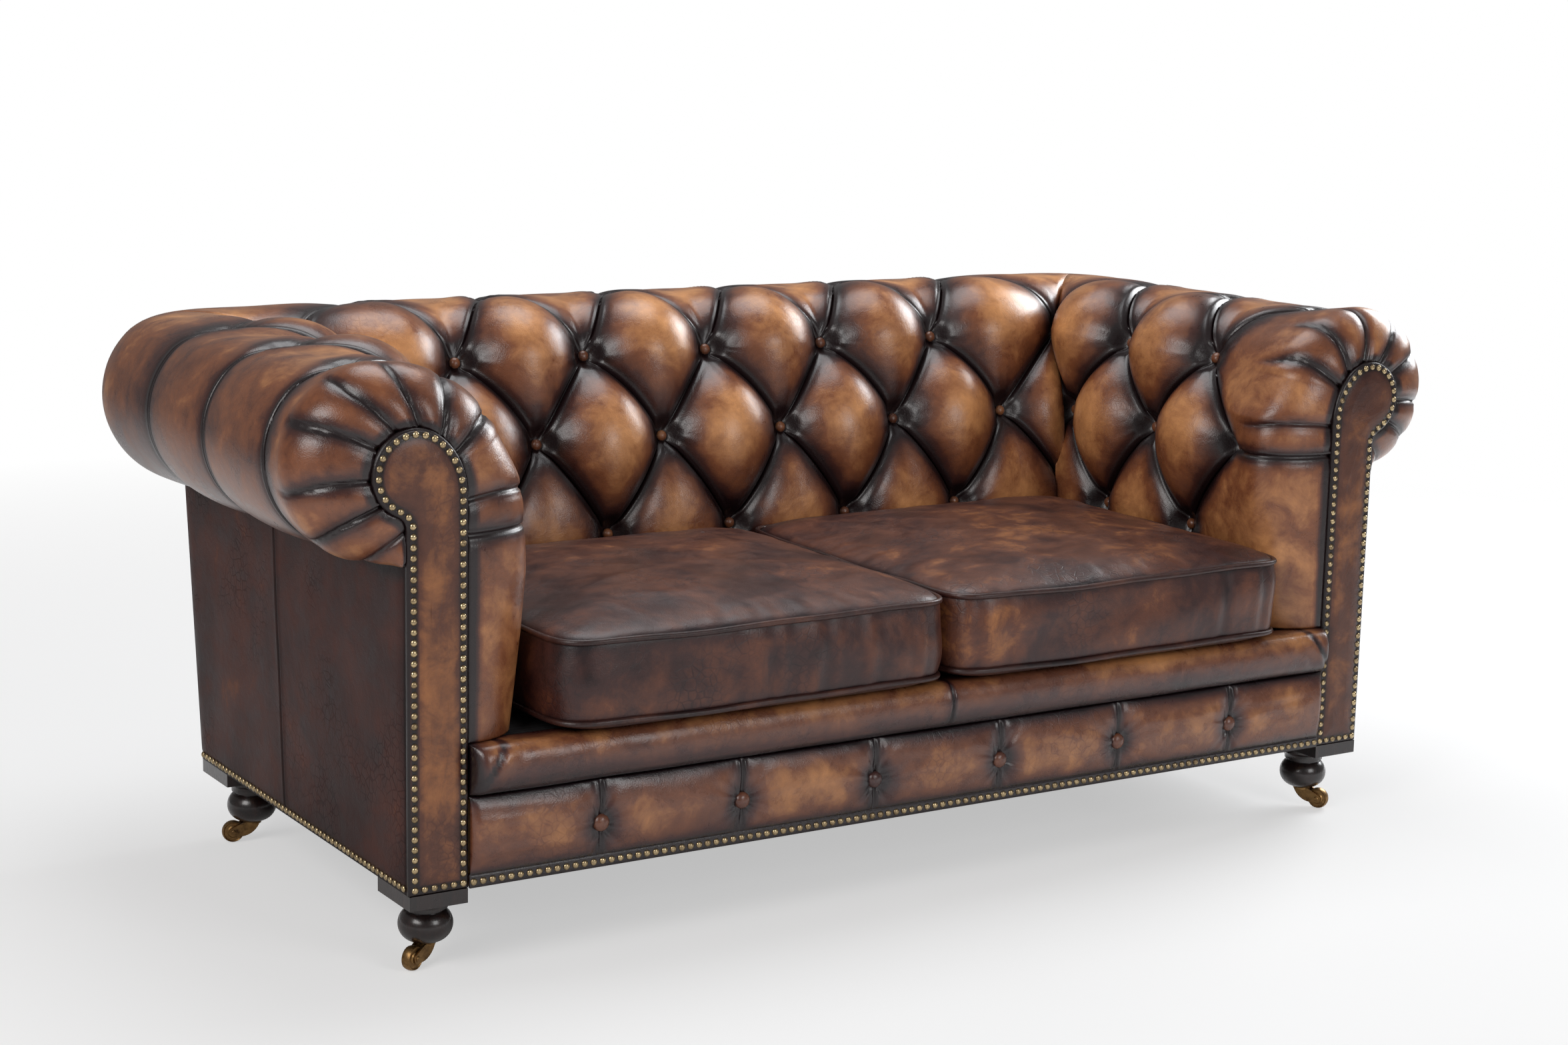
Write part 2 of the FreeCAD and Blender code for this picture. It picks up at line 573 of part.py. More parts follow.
half, back_plane = size(HALF), size(BACK)
arm_rows = pad_rows(half, [size("dims.arm_%s_depth" % row) for row in ("low", "mid", "high")],
                    Vector(size(ARM_ROLL), size(ROLL_HEIGHT), 0),
                    Vector(half, size("%s - dims.roll_radius" % ROLL_HEIGHT) + 1, 0),
                    {"panel": Vector(half, size(CORE_BOTTOM), 0), "plane": size(POST_EDGE)})
under_height = size("%s - dims.roll_radius" % ROLL_HEIGHT) + 1
under_back = size("%s + %s * (%f - %s)" % (BACK, LEAN, under_height, BASE))
back_rows = pad_rows(back_plane, [size("dims.back_%s_depth" % row) for row in ("low", "mid", "high")],
                     Vector(size(BACK_ROLL), size(ROLL_HEIGHT), 0),
                     Vector(under_back, under_height, 0),
                     {"panel": Vector(size(BACK_AT_CORE), size(CORE_BOTTOM), 0),
                      "plane": size(BACK_INNER)})

document.recompute()
arm_corner = back_plane - size("dims.arm_corner_inset")
arm_step = size("dims.arm_pitch") / 2
last_tuft = arm_corner - ARM_TUFT_STEPS * arm_step
rim = size(RAIL_FRONT) - 6
full_front = front_profile(arm_rows, size(ARM_FULLEST))
drawn_front = rim_profile(arm_rows)
past_corner = 2 * size("dims.roll_radius")
arm_sections = [(arm_corner + past_corner, tufted_profile(arm_rows, 0, 0.4)),
                (arm_corner, tufted_profile(arm_rows, 0, 0.4))]
for step in range(ARM_TUFT_STEPS):
    arm_sections.append((arm_corner - (step + 0.5) * arm_step, tufted_profile(arm_rows, 0.5)))
    arm_sections.append((arm_corner - (step + 1) * arm_step,
                         tufted_profile(arm_rows, (step + 1) % 2)))
for back_from_rim, share in ((0.5, 0), (0.3, 0.08), (0.14, 0.3), (0.05, 0.62), (0, 1)):
    arm_sections.append((mixed(rim, last_tuft, back_from_rim),
                         blended(full_front, drawn_front, share)))
arm_wires = [profile_wire(profile, arm_rows["inside"],
                          lambda point, along=along: Vector(point.x, along, point.y))
             for along, profile in arm_sections]
arm_pad = Part.makeLoft(arm_wires, True, True)
arm_pad = arm_pad.cut([mitre_block(1, True), outside_bend(1), post.Shape, facing.Shape,
                       back_tack_rail.Shape])
pair(shaped("arm_pad", arm_pad))

back_corner = half - size("dims.back_corner_inset")
column = back_corner / (BACK_COLUMNS / 2)
back_sections = []
for quarter in range(-2 * BACK_COLUMNS, 2 * BACK_COLUMNS + 1):
    share = 1 - abs((abs(quarter) / 2) % 2 - 1)
    fullness = 0.4 if abs(quarter) == 2 * BACK_COLUMNS else 1.0
    back_sections.append((quarter * column / 4, tufted_profile(back_rows, share, fullness)))
back_sections.insert(0, (-half - past_corner, back_sections[0][1]))
back_sections.append((half + past_corner, back_sections[-1][1]))
back_wires = [profile_wire(profile, back_rows["inside"],
                           lambda point, across=across: Vector(across, point.x, point.y))
              for across, profile in back_sections]
back_pad = Part.makeLoft(back_wires, True, True)
back_pad = back_pad.cut([block for side in (1, -1)
                         for block in (mitre_block(side, False), outside_bend(side))])
keep(shaped("back_pad", back_pad), "back_pad")

# Seat deck, front edge roll and apron
EDGE_ROLL_REAR = "(%s + dims.edge_roll_depth - dims.edge_roll_swell)" % FRONT
NAIL_BAND = "(2 * dims.nail_inset)"
keep(board("seat_deck_pad", ("-" + POST_EDGE, EDGE_ROLL_REAR, SEAT_FOOT),
           (POST_EDGE, BACK_INNER, DECK)), "seat_deck_pad")

EDGE_ROLL_HEIGHT = "(%s - %s)" % (DECK, SEAT_FOOT)
edge_roll = profile_body("seat_edge_roll", "YZ_Plane", (
    (EDGE_ROLL_REAR, SEAT_FOOT),
    (EDGE_ROLL_REAR, DECK),
    (FRONT, DECK, "((%s / 2)^2 + dims.edge_roll_swell^2) / (2 * dims.edge_roll_swell)"
     % EDGE_ROLL_HEIGHT, 1),
    (FRONT, SEAT_FOOT)), "2 * %s" % FACING_EDGE)
keep(stand(edge_roll, "-" + FACING_EDGE), "seat_edge_roll")

apron_front, apron_rear = size(FRONT), size(RAIL_FRONT)
apron_foot, apron_top = size(BASE), size(SEAT_FOOT) - 0.5
apron_band = size("%s + %s" % (BASE, NAIL_BAND))
button_height = size("%s + dims.apron_button_height" % BASE)


def apron_wire(across, proud):
    """A section of the apron, standing proud by this much at the height of its buttons."""
    middle = apron_front - proud
    swell = 2 + proud / 8
    low, high = (apron_front, apron_band), (apron_front, apron_top)
    points = [Vector(along, up, 0) for along, up in (low, (middle, button_height), high)]
    arcs = [(start, bulged(start, end, swell), end) for start, end in zip(points, points[1:])]
    lines = [high, (apron_rear, apron_top), (apron_rear, apron_foot), (apron_front, apron_foot), low]
    edges = [Part.Arc(*[Vector(across, point.x, point.y) for point in arc]).toShape()
             for arc in arcs]
    edges += [Part.makeLine(Vector(across, *start), Vector(across, *end))
              for start, end in zip(lines, lines[1:])]
    return Part.Wire(edges)


apron_end = size(FACING_EDGE)
channels = [(index - (APRON_BUTTONS - 1) / 2) * size("dims.apron_pitch")
            for index in range(APRON_BUTTONS)]
in_channel, full = size("dims.apron_channel"), size("dims.apron_swell")
apron_sections = []
for start, end in zip([-apron_end] + channels, channels + [apron_end]):
    apron_sections.append((start, in_channel))
    for share in (0.15, 0.5, 0.85):
        swollen = full if share == 0.5 else 0.75 * full
        apron_sections.append((mixed(start, end, share), swollen))
apron_sections.append((apron_end, in_channel))
keep(shaped("apron_panel", Part.makeLoft([apron_wire(*section) for section in apron_sections],
                                         True, True)), "apron_panel")

# Buttons and nails
OUT_FRONT = Vector(0, -1, 0)


def studs(label, pattern, places):
    """Copies of one stud, each standing out along its own direction."""
    copies = []
    for point, direction in places:
        copy = pattern.copy()
        copy.Placement = Placement(point, Rotation(Vector(0, 0, 1), direction))
        copies.append(copy)
    return keep(shaped(label, Part.makeCompound(copies)), label)


def turned_stud(width, dome, shank_radius, shank):
    """A domed head on a shank, standing along Z with its rim at the origin."""
    rim_point = Vector(width / 2, 0, 0)
    tip = Vector(0, 0, dome)
    ball = (rim_point.x ** 2 + dome ** 2) / (2 * dome)
    lift = math.sqrt(ball ** 2 - (rim_point.x * 0.6) ** 2) - (ball - dome)
    corners = [Vector(shank_radius, 0, 0), Vector(shank_radius, 0, -shank), Vector(0, 0, -shank)]
    edges = [Part.Arc(tip, Vector(rim_point.x * 0.6, 0, lift), rim_point).toShape()]
    route = [rim_point] + corners + [tip]
    edges += [Part.makeLine(start, end) for start, end in zip(route, route[1:])]
    return Part.Face(Part.Wire(edges)).revolve(Vector(), Vector(0, 0, 1), 360)


def tufts(rows, columns, place, turn):
    """Where a pad's buttons sit: columns holds (distance, share) pairs."""
    places = []
    slope = rows["high"] - rows["low"]
    normal = Vector(-slope.y, slope.x, 0).normalize()
    for distance, share in columns:
        for row in (("mid",) if share else ("low", "high")):
            places.append((place(rows[row] + normal * 1.5, distance), turn(normal)))
    return places


back_button = turned_stud(size("dims.button_width"), 6, size("dims.button_width") / 2 - 2, 3)
back_columns = [(step * column / 2, step % 2)
                for step in range(1 - BACK_COLUMNS, BACK_COLUMNS)]
studs("back_buttons", back_button,
      tufts(back_rows, back_columns, lambda point, across: Vector(across, point.x, point.y),
            lambda normal: Vector(0, normal.x, normal.y)))
arm_columns = [(arm_corner - step * arm_step, step % 2) for step in range(1, ARM_TUFT_STEPS + 1)]
for name, side in (("right", 1), ("left", -1)):
    studs("arm_buttons_" + name, back_button,
          tufts(arm_rows, arm_columns, lambda point, along: Vector(side * point.x, along, point.y),
                lambda normal: Vector(side * normal.x, 0, normal.y)))
apron_button = turned_stud(size("dims.apron_button_width"), 7,
                           size("dims.apron_button_width") / 2 - 3, 3)
studs("apron_buttons", apron_button,
      [(Vector(across, apron_front - in_channel - 1.5, button_height), OUT_FRONT)
       for across in channels])

nail = turned_stud(size("dims.nail_width"), 3.2, 0.9, size("dims.nail_length"))
nail_pitch = size("dims.nail_pitch")


def spaced(start, end, ends=True):
    """Evenly spaced points from start to end at about the nail pitch."""
    count = max(2, round((end - start).Length / nail_pitch))
    steps = range(count + 1) if ends else range(1, count)
    return [mixed(start, end, step / count) for step in steps]


def facing_line():
    """The nails' way up the inside of a facing, over its scroll and down the outside."""
    shape = scroll_numbers(-size("dims.nail_inset"))
    foot = size("%s + dims.nail_inset" % BASE)
    head, shoulder, neck = shape["head"], shape["shoulder"], shape["neck"]

    def over(centre, radius, start, end):
        middle = (angle_at(centre, start) + angle_at(centre, end)) / 2
        if centre is head:
            middle = (angle_at(head, shape["crown"]) + angle_at(head, shape["throat"])) / 2
        return Part.Arc(start, polar(centre, radius, math.degrees(middle)), end).toShape()

    inner_top = Vector(shape["inner"], shoulder.y, 0)
    outer_top = Vector(shape["outer"], neck.y, 0)
    edges = [Part.makeLine(Vector(shape["inner"], foot, 0), inner_top),
             over(shoulder, shape["shoulder_radius"], inner_top, shape["crown"]),
             over(head, shape["head_radius"], shape["crown"], shape["throat"]),
             over(neck, shape["neck_radius"], shape["throat"], outer_top),
             Part.makeLine(outer_top, Vector(shape["outer"], foot, 0))]
    return Part.Wire(edges)


line = facing_line()
round_facing = line.discretize(Number=round(line.Length / nail_pitch) + 1)
foot_row = spaced(round_facing[0], round_facing[-1], ends=False)
for name, side in (("right", 1), ("left", -1)):
    studs("facing_nails_" + name, nail,
          [(Vector(side * point.x, size(FRONT), point.y), OUT_FRONT)
           for point in round_facing + foot_row])

nail_height = size("%s + dims.nail_inset" % BASE)
row_end = apron_end - size("dims.nail_inset") / 1.5
base_places = [(point, OUT_FRONT) for point in
               spaced(Vector(-row_end, apron_front, nail_height),
                      Vector(row_end, apron_front, nail_height))]
side_front, side_rear = size(RAIL_FRONT), back_plane
for side in (-1, 1):
    base_places += [(point, Vector(side, 0, 0)) for point in
                    spaced(Vector(side * half, side_front + size("dims.nail_inset"), nail_height),
                           Vector(side * half, side_rear - size("dims.nail_inset"), nail_height))]
rear_at_nails = back_plane + size("%s * dims.nail_inset" % LEAN)
rear_end = size("%s - dims.nail_inset" % SIDE)
base_places += [(point, Vector(0, 1, 0)) for point in
                spaced(Vector(-rear_end, rear_at_nails, nail_height),
                       Vector(rear_end, rear_at_nails, nail_height))]
studs("base_nails", nail, base_places)


# Seat cushions and their piping
def drawn_outline(low, high, corner, bend, up):
    """A rounded rectangle whose sides are drawn in between its corners, as a wire.

    A side is drawn in by its half length squared, times bend.
    """
    width, depth = high[0] - low[0], high[1] - low[1]
    centre = Vector((low[0] + high[0]) / 2, (low[1] + high[1]) / 2, up)
    sides = []
    for run, reach in ((width / 2 - corner, depth / 2), (depth / 2 - corner, width / 2)):
        drawn = bend * run ** 2
        ball = (run ** 2 + drawn ** 2) / (2 * drawn)
        sides.append((math.degrees(math.atan2(run, ball - drawn)), reach - drawn))
    corners = [(width / 2 - corner, depth / 2 - corner), (corner - width / 2, depth / 2 - corner),
               (corner - width / 2, corner - depth / 2), (width / 2 - corner, corner - depth / 2)]
    joins = []
    for index, (x, y) in enumerate(corners):
        leans = [side[0] for side in sides]
        if index % 2:
            leans.reverse()
        turn = 90 * index
        start, end = turn - leans[1], turn + 90 + leans[0]
        at = centre + Vector(x, y, 0)
        joins.append([polar(at, corner, angle) for angle in (start, (start + end) / 2, end)])
    edges = []
    for index, join in enumerate(joins):
        ahead = joins[(index + 1) % 4][0]
        middle = polar(centre, sides[index % 2][1], 90 * (index + 1))
        edges += [Part.Arc(*join).toShape(), Part.Arc(join[2], middle, ahead).toShape()]
    return Part.Wire(edges)


piping = size("dims.piping_radius")
gap = size("dims.cushion_clearance") / 2
cushion_low = (gap, size("%s - dims.cushion_overhang" % FRONT))
cushion_high = (size("%s - dims.cushion_clearance" % ARM_FULLEST),
                size("%s - dims.back_low_depth - dims.pad_fullness - dims.cushion_clearance" % BACK))
cushion_foot, corner_radius = size("%s + dims.cushion_lift" % DECK), size("dims.cushion_corner")
low_piping = size("%s + dims.cushion_foot" % DECK)
top_piping = low_piping + size("dims.cushion_border")
crown = size("dims.cushion_crown")


half_sides = [(high - low) / 2 for low, high in zip(cushion_low, cushion_high)]
bend = size("dims.cushion_draw") / (half_sides[0] - corner_radius) ** 2


def inset_outline(inset, up):
    """The cushion's plan drawn in by inset."""
    corner = max(corner_radius - inset, 0.43 * corner_radius) + inset * 0.35
    return drawn_outline([edge + inset for edge in cushion_low],
                         [edge - inset for edge in cushion_high],
                         min(corner, 0.85 * (min(half_sides) - inset)), bend, up)


waist, border = 0.6 * piping, size("dims.cushion_border")
levels = [(0.2 * min(half_sides), cushion_foot), (0.08 * min(half_sides), cushion_foot + 2),
          (piping, low_piping), (waist, low_piping + 0.11 * border),
          (waist, top_piping - 0.11 * border), (piping, top_piping)]
levels += [(piping + share * min(half_sides), top_piping + rise * crown)
           for share, rise in ((0.035, 0.22), (0.14, 0.55), (0.31, 0.82), (0.52, 0.96), (0.7, 1))]
cushion = Part.makeLoft([inset_outline(*level) for level in levels], True, True)
pair(shaped("seat_cushion", cushion))


def piping_ring(up):
    """One ring of piping round the cushion."""
    path = inset_outline(piping, up)
    start = path.Edges[0].firstVertex().Point
    ahead = path.Edges[0].tangentAt(path.Edges[0].FirstParameter)
    section = Part.Wire(Part.Circle(start, ahead, piping).toShape())
    return path.makePipeShell([section], True, False)


pair(shaped("cushion_piping", Part.makeCompound([piping_ring(low_piping),
                                                 piping_ring(top_piping)])))

# Springs, webbing and dust cover
wire = size("dims.wire_radius")
spring_front, spring_rear = size(POST_REAR) - 12, size(RAIL_BACK_INNER) + 12
spring_height = size("%s + dims.spring_lift / 2" % RAIL_TOP)
LOOP_HALF = 22
LOOP_PITCH = 26


def zigzag(across):
    """One flat zigzag spring: straight runs across, joined by half turns in two arcs."""
    loops = int((spring_rear - spring_front) / LOOP_PITCH)
    pitch = (spring_rear - spring_front) / loops
    radius = pitch / 2
    edges = []
    side = 1
    for loop in range(loops):
        along = spring_front + loop * pitch
        end = across + side * LOOP_HALF
        edges.append(Part.makeLine(Vector(across - side * LOOP_HALF, along, spring_height),
                                   Vector(end, along, spring_height)))
        centre = Vector(end, along + radius, spring_height)
        arc = [centre + Vector(side * radius * math.cos(turn), radius * math.sin(turn), 0)
               for turn in (-math.pi / 2, -math.pi / 4, 0, math.pi / 4, math.pi / 2)]
        edges.append(Part.Arc(*arc[:3]).toShape())
        edges.append(Part.Arc(*arc[2:]).toShape())
        side = -side
    edges.append(Part.makeLine(Vector(across - side * LOOP_HALF, spring_rear, spring_height),
                               Vector(across + side * LOOP_HALF, spring_rear, spring_height)))
    start = edges[0].firstVertex().Point
    section = Part.Wire(Part.Circle(start, Vector(1, 0, 0), wire).toShape())
    return Part.Wire(edges).makePipeShell([section], True, False)


spring_pitch = size("dims.spring_pitch")
spring_reach = size(POST_EDGE) - LOOP_HALF - LOOP_PITCH
per_side = int(spring_reach / spring_pitch)
spring_places = [spring_pitch * (step + 0.5) for step in range(per_side + 1)
                 if spring_pitch * (step + 0.5) < spring_reach]
spring_places = [-place for place in reversed(spring_places)] + spring_places
keep(shaped("seat_springs", Part.makeCompound([zigzag(place) for place in spring_places])),
     "seat_springs")
clips = []
for place in spring_places:
    for along in (spring_front, spring_rear):
        clip = Part.makeBox(30, 9, size("dims.spring_lift"),
                            Vector(place - 15, along - 4.5, size(RAIL_TOP)))
        bore = Part.makeCylinder(wire + 0.05, 40, Vector(place - 20, along, spring_height),
                                 Vector(1, 0, 0))
        clips.append(clip.cut(bore))
keep(shaped("spring_clips", Part.makeCompound(clips)), "spring_clips")

STRAP_WIDTH = 50
STRAP = 2
straps = []
strap_foot, strap_top = size("%s + dims.tack_rail_height" % DECK), size(CORE_BOTTOM)
strap_face = size(BACK_INNER)
for index in range(BACK_COLUMNS):
    across = (index - (BACK_COLUMNS - 1) / 2) * column
    straps.append(Part.makeBox(STRAP_WIDTH, STRAP, strap_top - strap_foot,
                               Vector(across - STRAP_WIDTH / 2, strap_face, strap_foot)))
for side in (-1, 1):
    inner = size(POST_EDGE) if side > 0 else -size(POST_EDGE) - STRAP
    for share in (0.3, 0.65):
        up = mixed(strap_foot, strap_top, share) - STRAP_WIDTH / 2
        straps.append(Part.makeBox(STRAP, strap_face - size(POST_REAR), STRAP_WIDTH,
                                   Vector(inner, size(POST_REAR), up)))
keep(shaped("webbing", Part.makeCompound(straps)), "webbing")

keep(board("dust_cover", ("-" + RAIL_INNER, POST_REAR, BASE),
           (RAIL_INNER, RAIL_BACK_INNER, "%s + dims.cover_thickness" % BASE)), "dust_cover")

# Corner blocks, bun feet and casters
BLOCK_FOOT = "(%s - dims.block_height)" % BASE
BLOCK_OUTER = "(%s - %s)" % (HALF, BLOCK_MARGIN)
BLOCK_INNER = "(%s - dims.block_width)" % BLOCK_OUTER
corners = {}
blocks = []
for end, foot_along, block_span, tongue_span in (
        ("front", "%s + dims.foot_front_inset" % FRONT, (BLOCK_FRONT, TONGUE_FRONT),
         (POST_REAR, TONGUE_FRONT)),
        ("rear", "%s - dims.foot_back_inset" % BACK, (TONGUE_REAR, BLOCK_REAR),
         (TONGUE_REAR, RAIL_REAR))):
    for side, mark in (("left", "-"), ("right", "")):
        place = "%s_%s" % (end, side)
        corners[place] = ("%s(%s - dims.foot_side_inset)" % (mark, HALF), foot_along)
        solids = []
        for stem, (inner, outer), (front, rear), (low, high) in (
                ("block_", (BLOCK_INNER, BLOCK_OUTER), block_span, (BLOCK_FOOT, BASE)),
                ("tongue_", (RAIL_INNER, SIDE), tongue_span, (BASE, TONGUE_TOP))):
            if side == "left":
                inner, outer = "-" + outer, "-" + inner
            solids.append(board(stem + place, (inner, front, low), (outer, rear, high)))
        block = document.addObject("Part::MultiFuse", "corner_block_" + place)
        block.Shapes = solids
        blocks.append(block)
group("corner_blocks", blocks)

SOCKET_RADIUS = "(dims.stem_radius + dims.running_gap + dims.socket_wall)"
SOCKET_DEPTH = "(dims.stem_length + 3)"
FLANGE = "1.3"
BALL_SWELL = "(dims.foot_radius - (dims.foot_seat_radius + dims.foot_neck_radius) / 2)"
BALL_HEIGHT = "(dims.foot_height * 2 / 3)"
BALL_CHORD = "((%s / 2)^2 + ((dims.foot_neck_radius - dims.foot_seat_radius) / 2)^2)" % BALL_HEIGHT
COLLAR = "(dims.foot_neck_radius + 8)"
foot_outline = (
    (SOCKET_RADIUS, "0"),
    ("dims.foot_seat_radius", "0", "(%s + %s^2) / (2 * %s)" % (BALL_CHORD, BALL_SWELL, BALL_SWELL), 1),
    ("dims.foot_neck_radius", BALL_HEIGHT),
    ("dims.foot_neck_radius - 2", BALL_HEIGHT),
    ("dims.foot_neck_radius - 2", "%s + 3" % BALL_HEIGHT),
    ("dims.foot_neck_radius + 2", "%s + 4" % BALL_HEIGHT),
    ("dims.foot_neck_radius + 2", "%s + 7" % BALL_HEIGHT, "12", -1),
    (COLLAR, "dims.foot_height - 5"),
    (COLLAR, "dims.foot_height"),
    ("0", "dims.foot_height"),
    ("0", SOCKET_DEPTH),
    (SOCKET_RADIUS, SOCKET_DEPTH))
socket_outline = (
    ("dims.stem_radius + dims.running_gap", "0"),
    ("dims.plate_radius - 1", "0"),
    ("dims.plate_radius - 1", FLANGE),
    (SOCKET_RADIUS, FLANGE),
    (SOCKET_RADIUS, "%s + %s" % (SOCKET_DEPTH, FLANGE)),
    ("dims.stem_radius + dims.running_gap", "%s + %s" % (SOCKET_DEPTH, FLANGE)))

PLATE_TOP = "(dims.caster_height - %s - dims.swivel_gap)" % FLANGE
PLATE_FOOT = "(%s - dims.caster_plate)" % PLATE_TOP
WHEEL_GAP = "0.5"
SLOT = "(dims.wheel_width + 2 * %s)" % WHEEL_GAP
FORK_WIDTH = "(%s + 2 * dims.cheek_thickness)" % SLOT
BOSS = "(dims.axle_radius + 4.5)"
WEB = "(dims.caster_trail - dims.wheel_radius - 1.5)"
fork_outline = (
    ("-dims.plate_radius * 0.7", PLATE_FOOT, "30", 1),
    ("dims.caster_trail + %s * cos(-115)" % BOSS, "dims.wheel_radius + %s * sin(-115)" % BOSS, BOSS, 1),
    ("dims.caster_trail + %s * cos(60)" % BOSS, "dims.wheel_radius + %s * sin(60)" % BOSS),
    ("dims.plate_radius", "%s - 0.4" % PLATE_TOP),
    ("-dims.plate_radius * 0.7", "%s - 0.4" % PLATE_TOP))
wheel_outline = (
    ("dims.axle_radius + dims.running_gap", "-dims.wheel_width / 2"),
    ("dims.wheel_radius * 0.45", "-dims.wheel_width / 2"),
    ("dims.wheel_radius * 0.55", "1.6 - dims.wheel_width / 2"),
    ("dims.wheel_radius * 0.8", "1.6 - dims.wheel_width / 2"),
    ("dims.wheel_radius * 0.88", "0.4 - dims.wheel_width / 2"),
    ("dims.wheel_radius * 0.92", "0.4 - dims.wheel_width / 2",
     "((dims.wheel_width / 2 - 0.4)^2 + (dims.wheel_radius * 0.08)^2) / (dims.wheel_radius * 0.16)", 1),
    ("dims.wheel_radius * 0.92", "dims.wheel_width / 2 - 0.4"),
    ("dims.wheel_radius * 0.88", "dims.wheel_width / 2 - 0.4"),
    ("dims.wheel_radius * 0.8", "dims.wheel_width / 2 - 1.6"),
    ("dims.wheel_radius * 0.55", "dims.wheel_width / 2 - 1.6"),
    ("dims.wheel_radius * 0.45", "dims.wheel_width / 2"),
    ("dims.axle_radius + dims.running_gap", "dims.wheel_width / 2"))
RIVET = "(%s / 2)" % FORK_WIDTH
axle_outline = (
    ("0", "-%s - 1.4" % RIVET),
    ("dims.axle_radius + 0.6", "-%s - 1.4" % RIVET),
    ("dims.axle_radius + 1.6", "-%s - 0.6" % RIVET),
    ("dims.axle_radius + 1.6", "-" + RIVET),
    ("dims.axle_radius", "-" + RIVET),
    ("dims.axle_radius", RIVET),
    ("dims.axle_radius + 1.6", RIVET),
    ("dims.axle_radius + 1.6", "%s + 0.6" % RIVET),
    ("dims.axle_radius + 0.6", "%s + 1.4" % RIVET),
    ("0", "%s + 1.4" % RIVET))


def cylinder(label, radius, height):
    """A plain cylinder with bound sizes."""
    piece = document.addObject("Part::Cylinder", label)
    piece.setExpression("Radius", radius)
    piece.setExpression("Height", height)
    return piece


def make_fork(place):
    """The fork of one caster: cheeks and web, round plate and swivel stem, in one casting."""
    cheeks = profile_body("fork_cheeks_" + place, "XZ_Plane", fork_outline, FORK_WIDTH)
    stand(cheeks, None, "%s / 2" % FORK_WIDTH)
    slot = board("fork_slot_" + place, (WEB, "-%s / 2" % SLOT, "0"),
                 ("dims.caster_trail + dims.wheel_radius", "%s / 2" % SLOT, "dims.caster_height"))
    bore = cylinder("fork_bore_" + place, "dims.axle_radius", "2 * " + FORK_WIDTH)
    bore.Placement = Placement(Vector(), Rotation(Vector(1, 0, 0), 90))
    stand(bore, "dims.caster_trail", FORK_WIDTH, "dims.wheel_radius")
    tools = document.addObject("Part::MultiFuse", "fork_tools_" + place)
    tools.Shapes = [slot, bore]
    arms = document.addObject("Part::Cut", "fork_arms_" + place)
    arms.Base = cheeks
    arms.Tool = tools
    plate = stand(cylinder("fork_plate_" + place, "dims.plate_radius", "dims.caster_plate"),
                  up=PLATE_FOOT)
    stem = stand(cylinder("fork_stem_" + place, "dims.stem_radius",
                          "dims.stem_length + dims.caster_plate / 2"),
                 up="%s - dims.caster_plate / 2" % PLATE_TOP)
    fork = document.addObject("Part::MultiFuse", "caster_fork_" + place)
    fork.Shapes = [arms, plate, stem]
    return fork


sockets = []
for place, (across, along) in corners.items():
    turn = "dims.%s_turn" % place
    keep(stand(turned_body("bun_foot_" + place, "XZ_Plane", foot_outline),
               across, along, "dims.caster_height"), "bun_foot_" + place)
    sockets.append(stand(turned_body("caster_socket_" + place, "XZ_Plane", socket_outline),
                         across, along, "dims.caster_height - " + FLANGE))
    keep(stand(make_fork(place), across, along, turn=turn), "caster_fork_" + place)
    axle_across = "%s + dims.caster_trail * cos(%s)" % (across, turn)
    axle_along = "%s + dims.caster_trail * sin(%s)" % (along, turn)
    for stem, half_outline in (("caster_wheel_", wheel_outline), ("caster_axle_", axle_outline)):
        keep(stand(turned_body(stem + place, "XY_Plane", half_outline),
                   axle_across, axle_along, "dims.wheel_radius", turn), stem + place)
group("caster_sockets", sockets)

document.recompute()
for item in document.Objects:
    if "Invalid" in item.State or "Error" in item.State:
        raise RuntimeError("%s failed: %s" % (item.Label, item.State))
for piece in nodes:
    if piece.Shape.isNull() or not piece.Shape.isValid() or not piece.Shape.Solids:
        raise RuntimeError("%s has no valid solid" % piece.Label)
os.makedirs("parts", exist_ok=True)
for piece in nodes:
    piece.Shape.exportStep("parts/%s.step" % piece.Label)
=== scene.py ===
"""The leather, cushions, nails and casters of a chesterfield sofa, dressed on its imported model.

Metres. X runs across the sofa, Y from its front to its back and Z up, with the origin on the
floor under the middle of the sofa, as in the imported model.
"""
import json
import math

import bmesh
import bpy
import numpy as np
from bpy.props import FloatProperty, FloatVectorProperty, PointerProperty
from mathutils import Matrix, Vector


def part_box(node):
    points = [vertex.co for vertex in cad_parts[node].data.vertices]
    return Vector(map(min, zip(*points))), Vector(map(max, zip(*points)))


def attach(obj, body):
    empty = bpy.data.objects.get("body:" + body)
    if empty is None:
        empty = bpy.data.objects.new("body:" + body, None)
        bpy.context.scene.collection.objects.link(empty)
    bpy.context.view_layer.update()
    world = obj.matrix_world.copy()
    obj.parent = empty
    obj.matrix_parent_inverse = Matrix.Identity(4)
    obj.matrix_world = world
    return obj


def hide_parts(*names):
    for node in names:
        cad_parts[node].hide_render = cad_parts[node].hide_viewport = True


bl_info = {
    "name": "Chesterfield Sofa Covers",
    "version": (1, 0, 0),
    "blender": (4, 5, 0),
    "location": "View3D > Sidebar > Sofa",
    "description": "Tufted leather, seat cushions, nails and casters for a chesterfield sofa",
    "category": "Object",
}

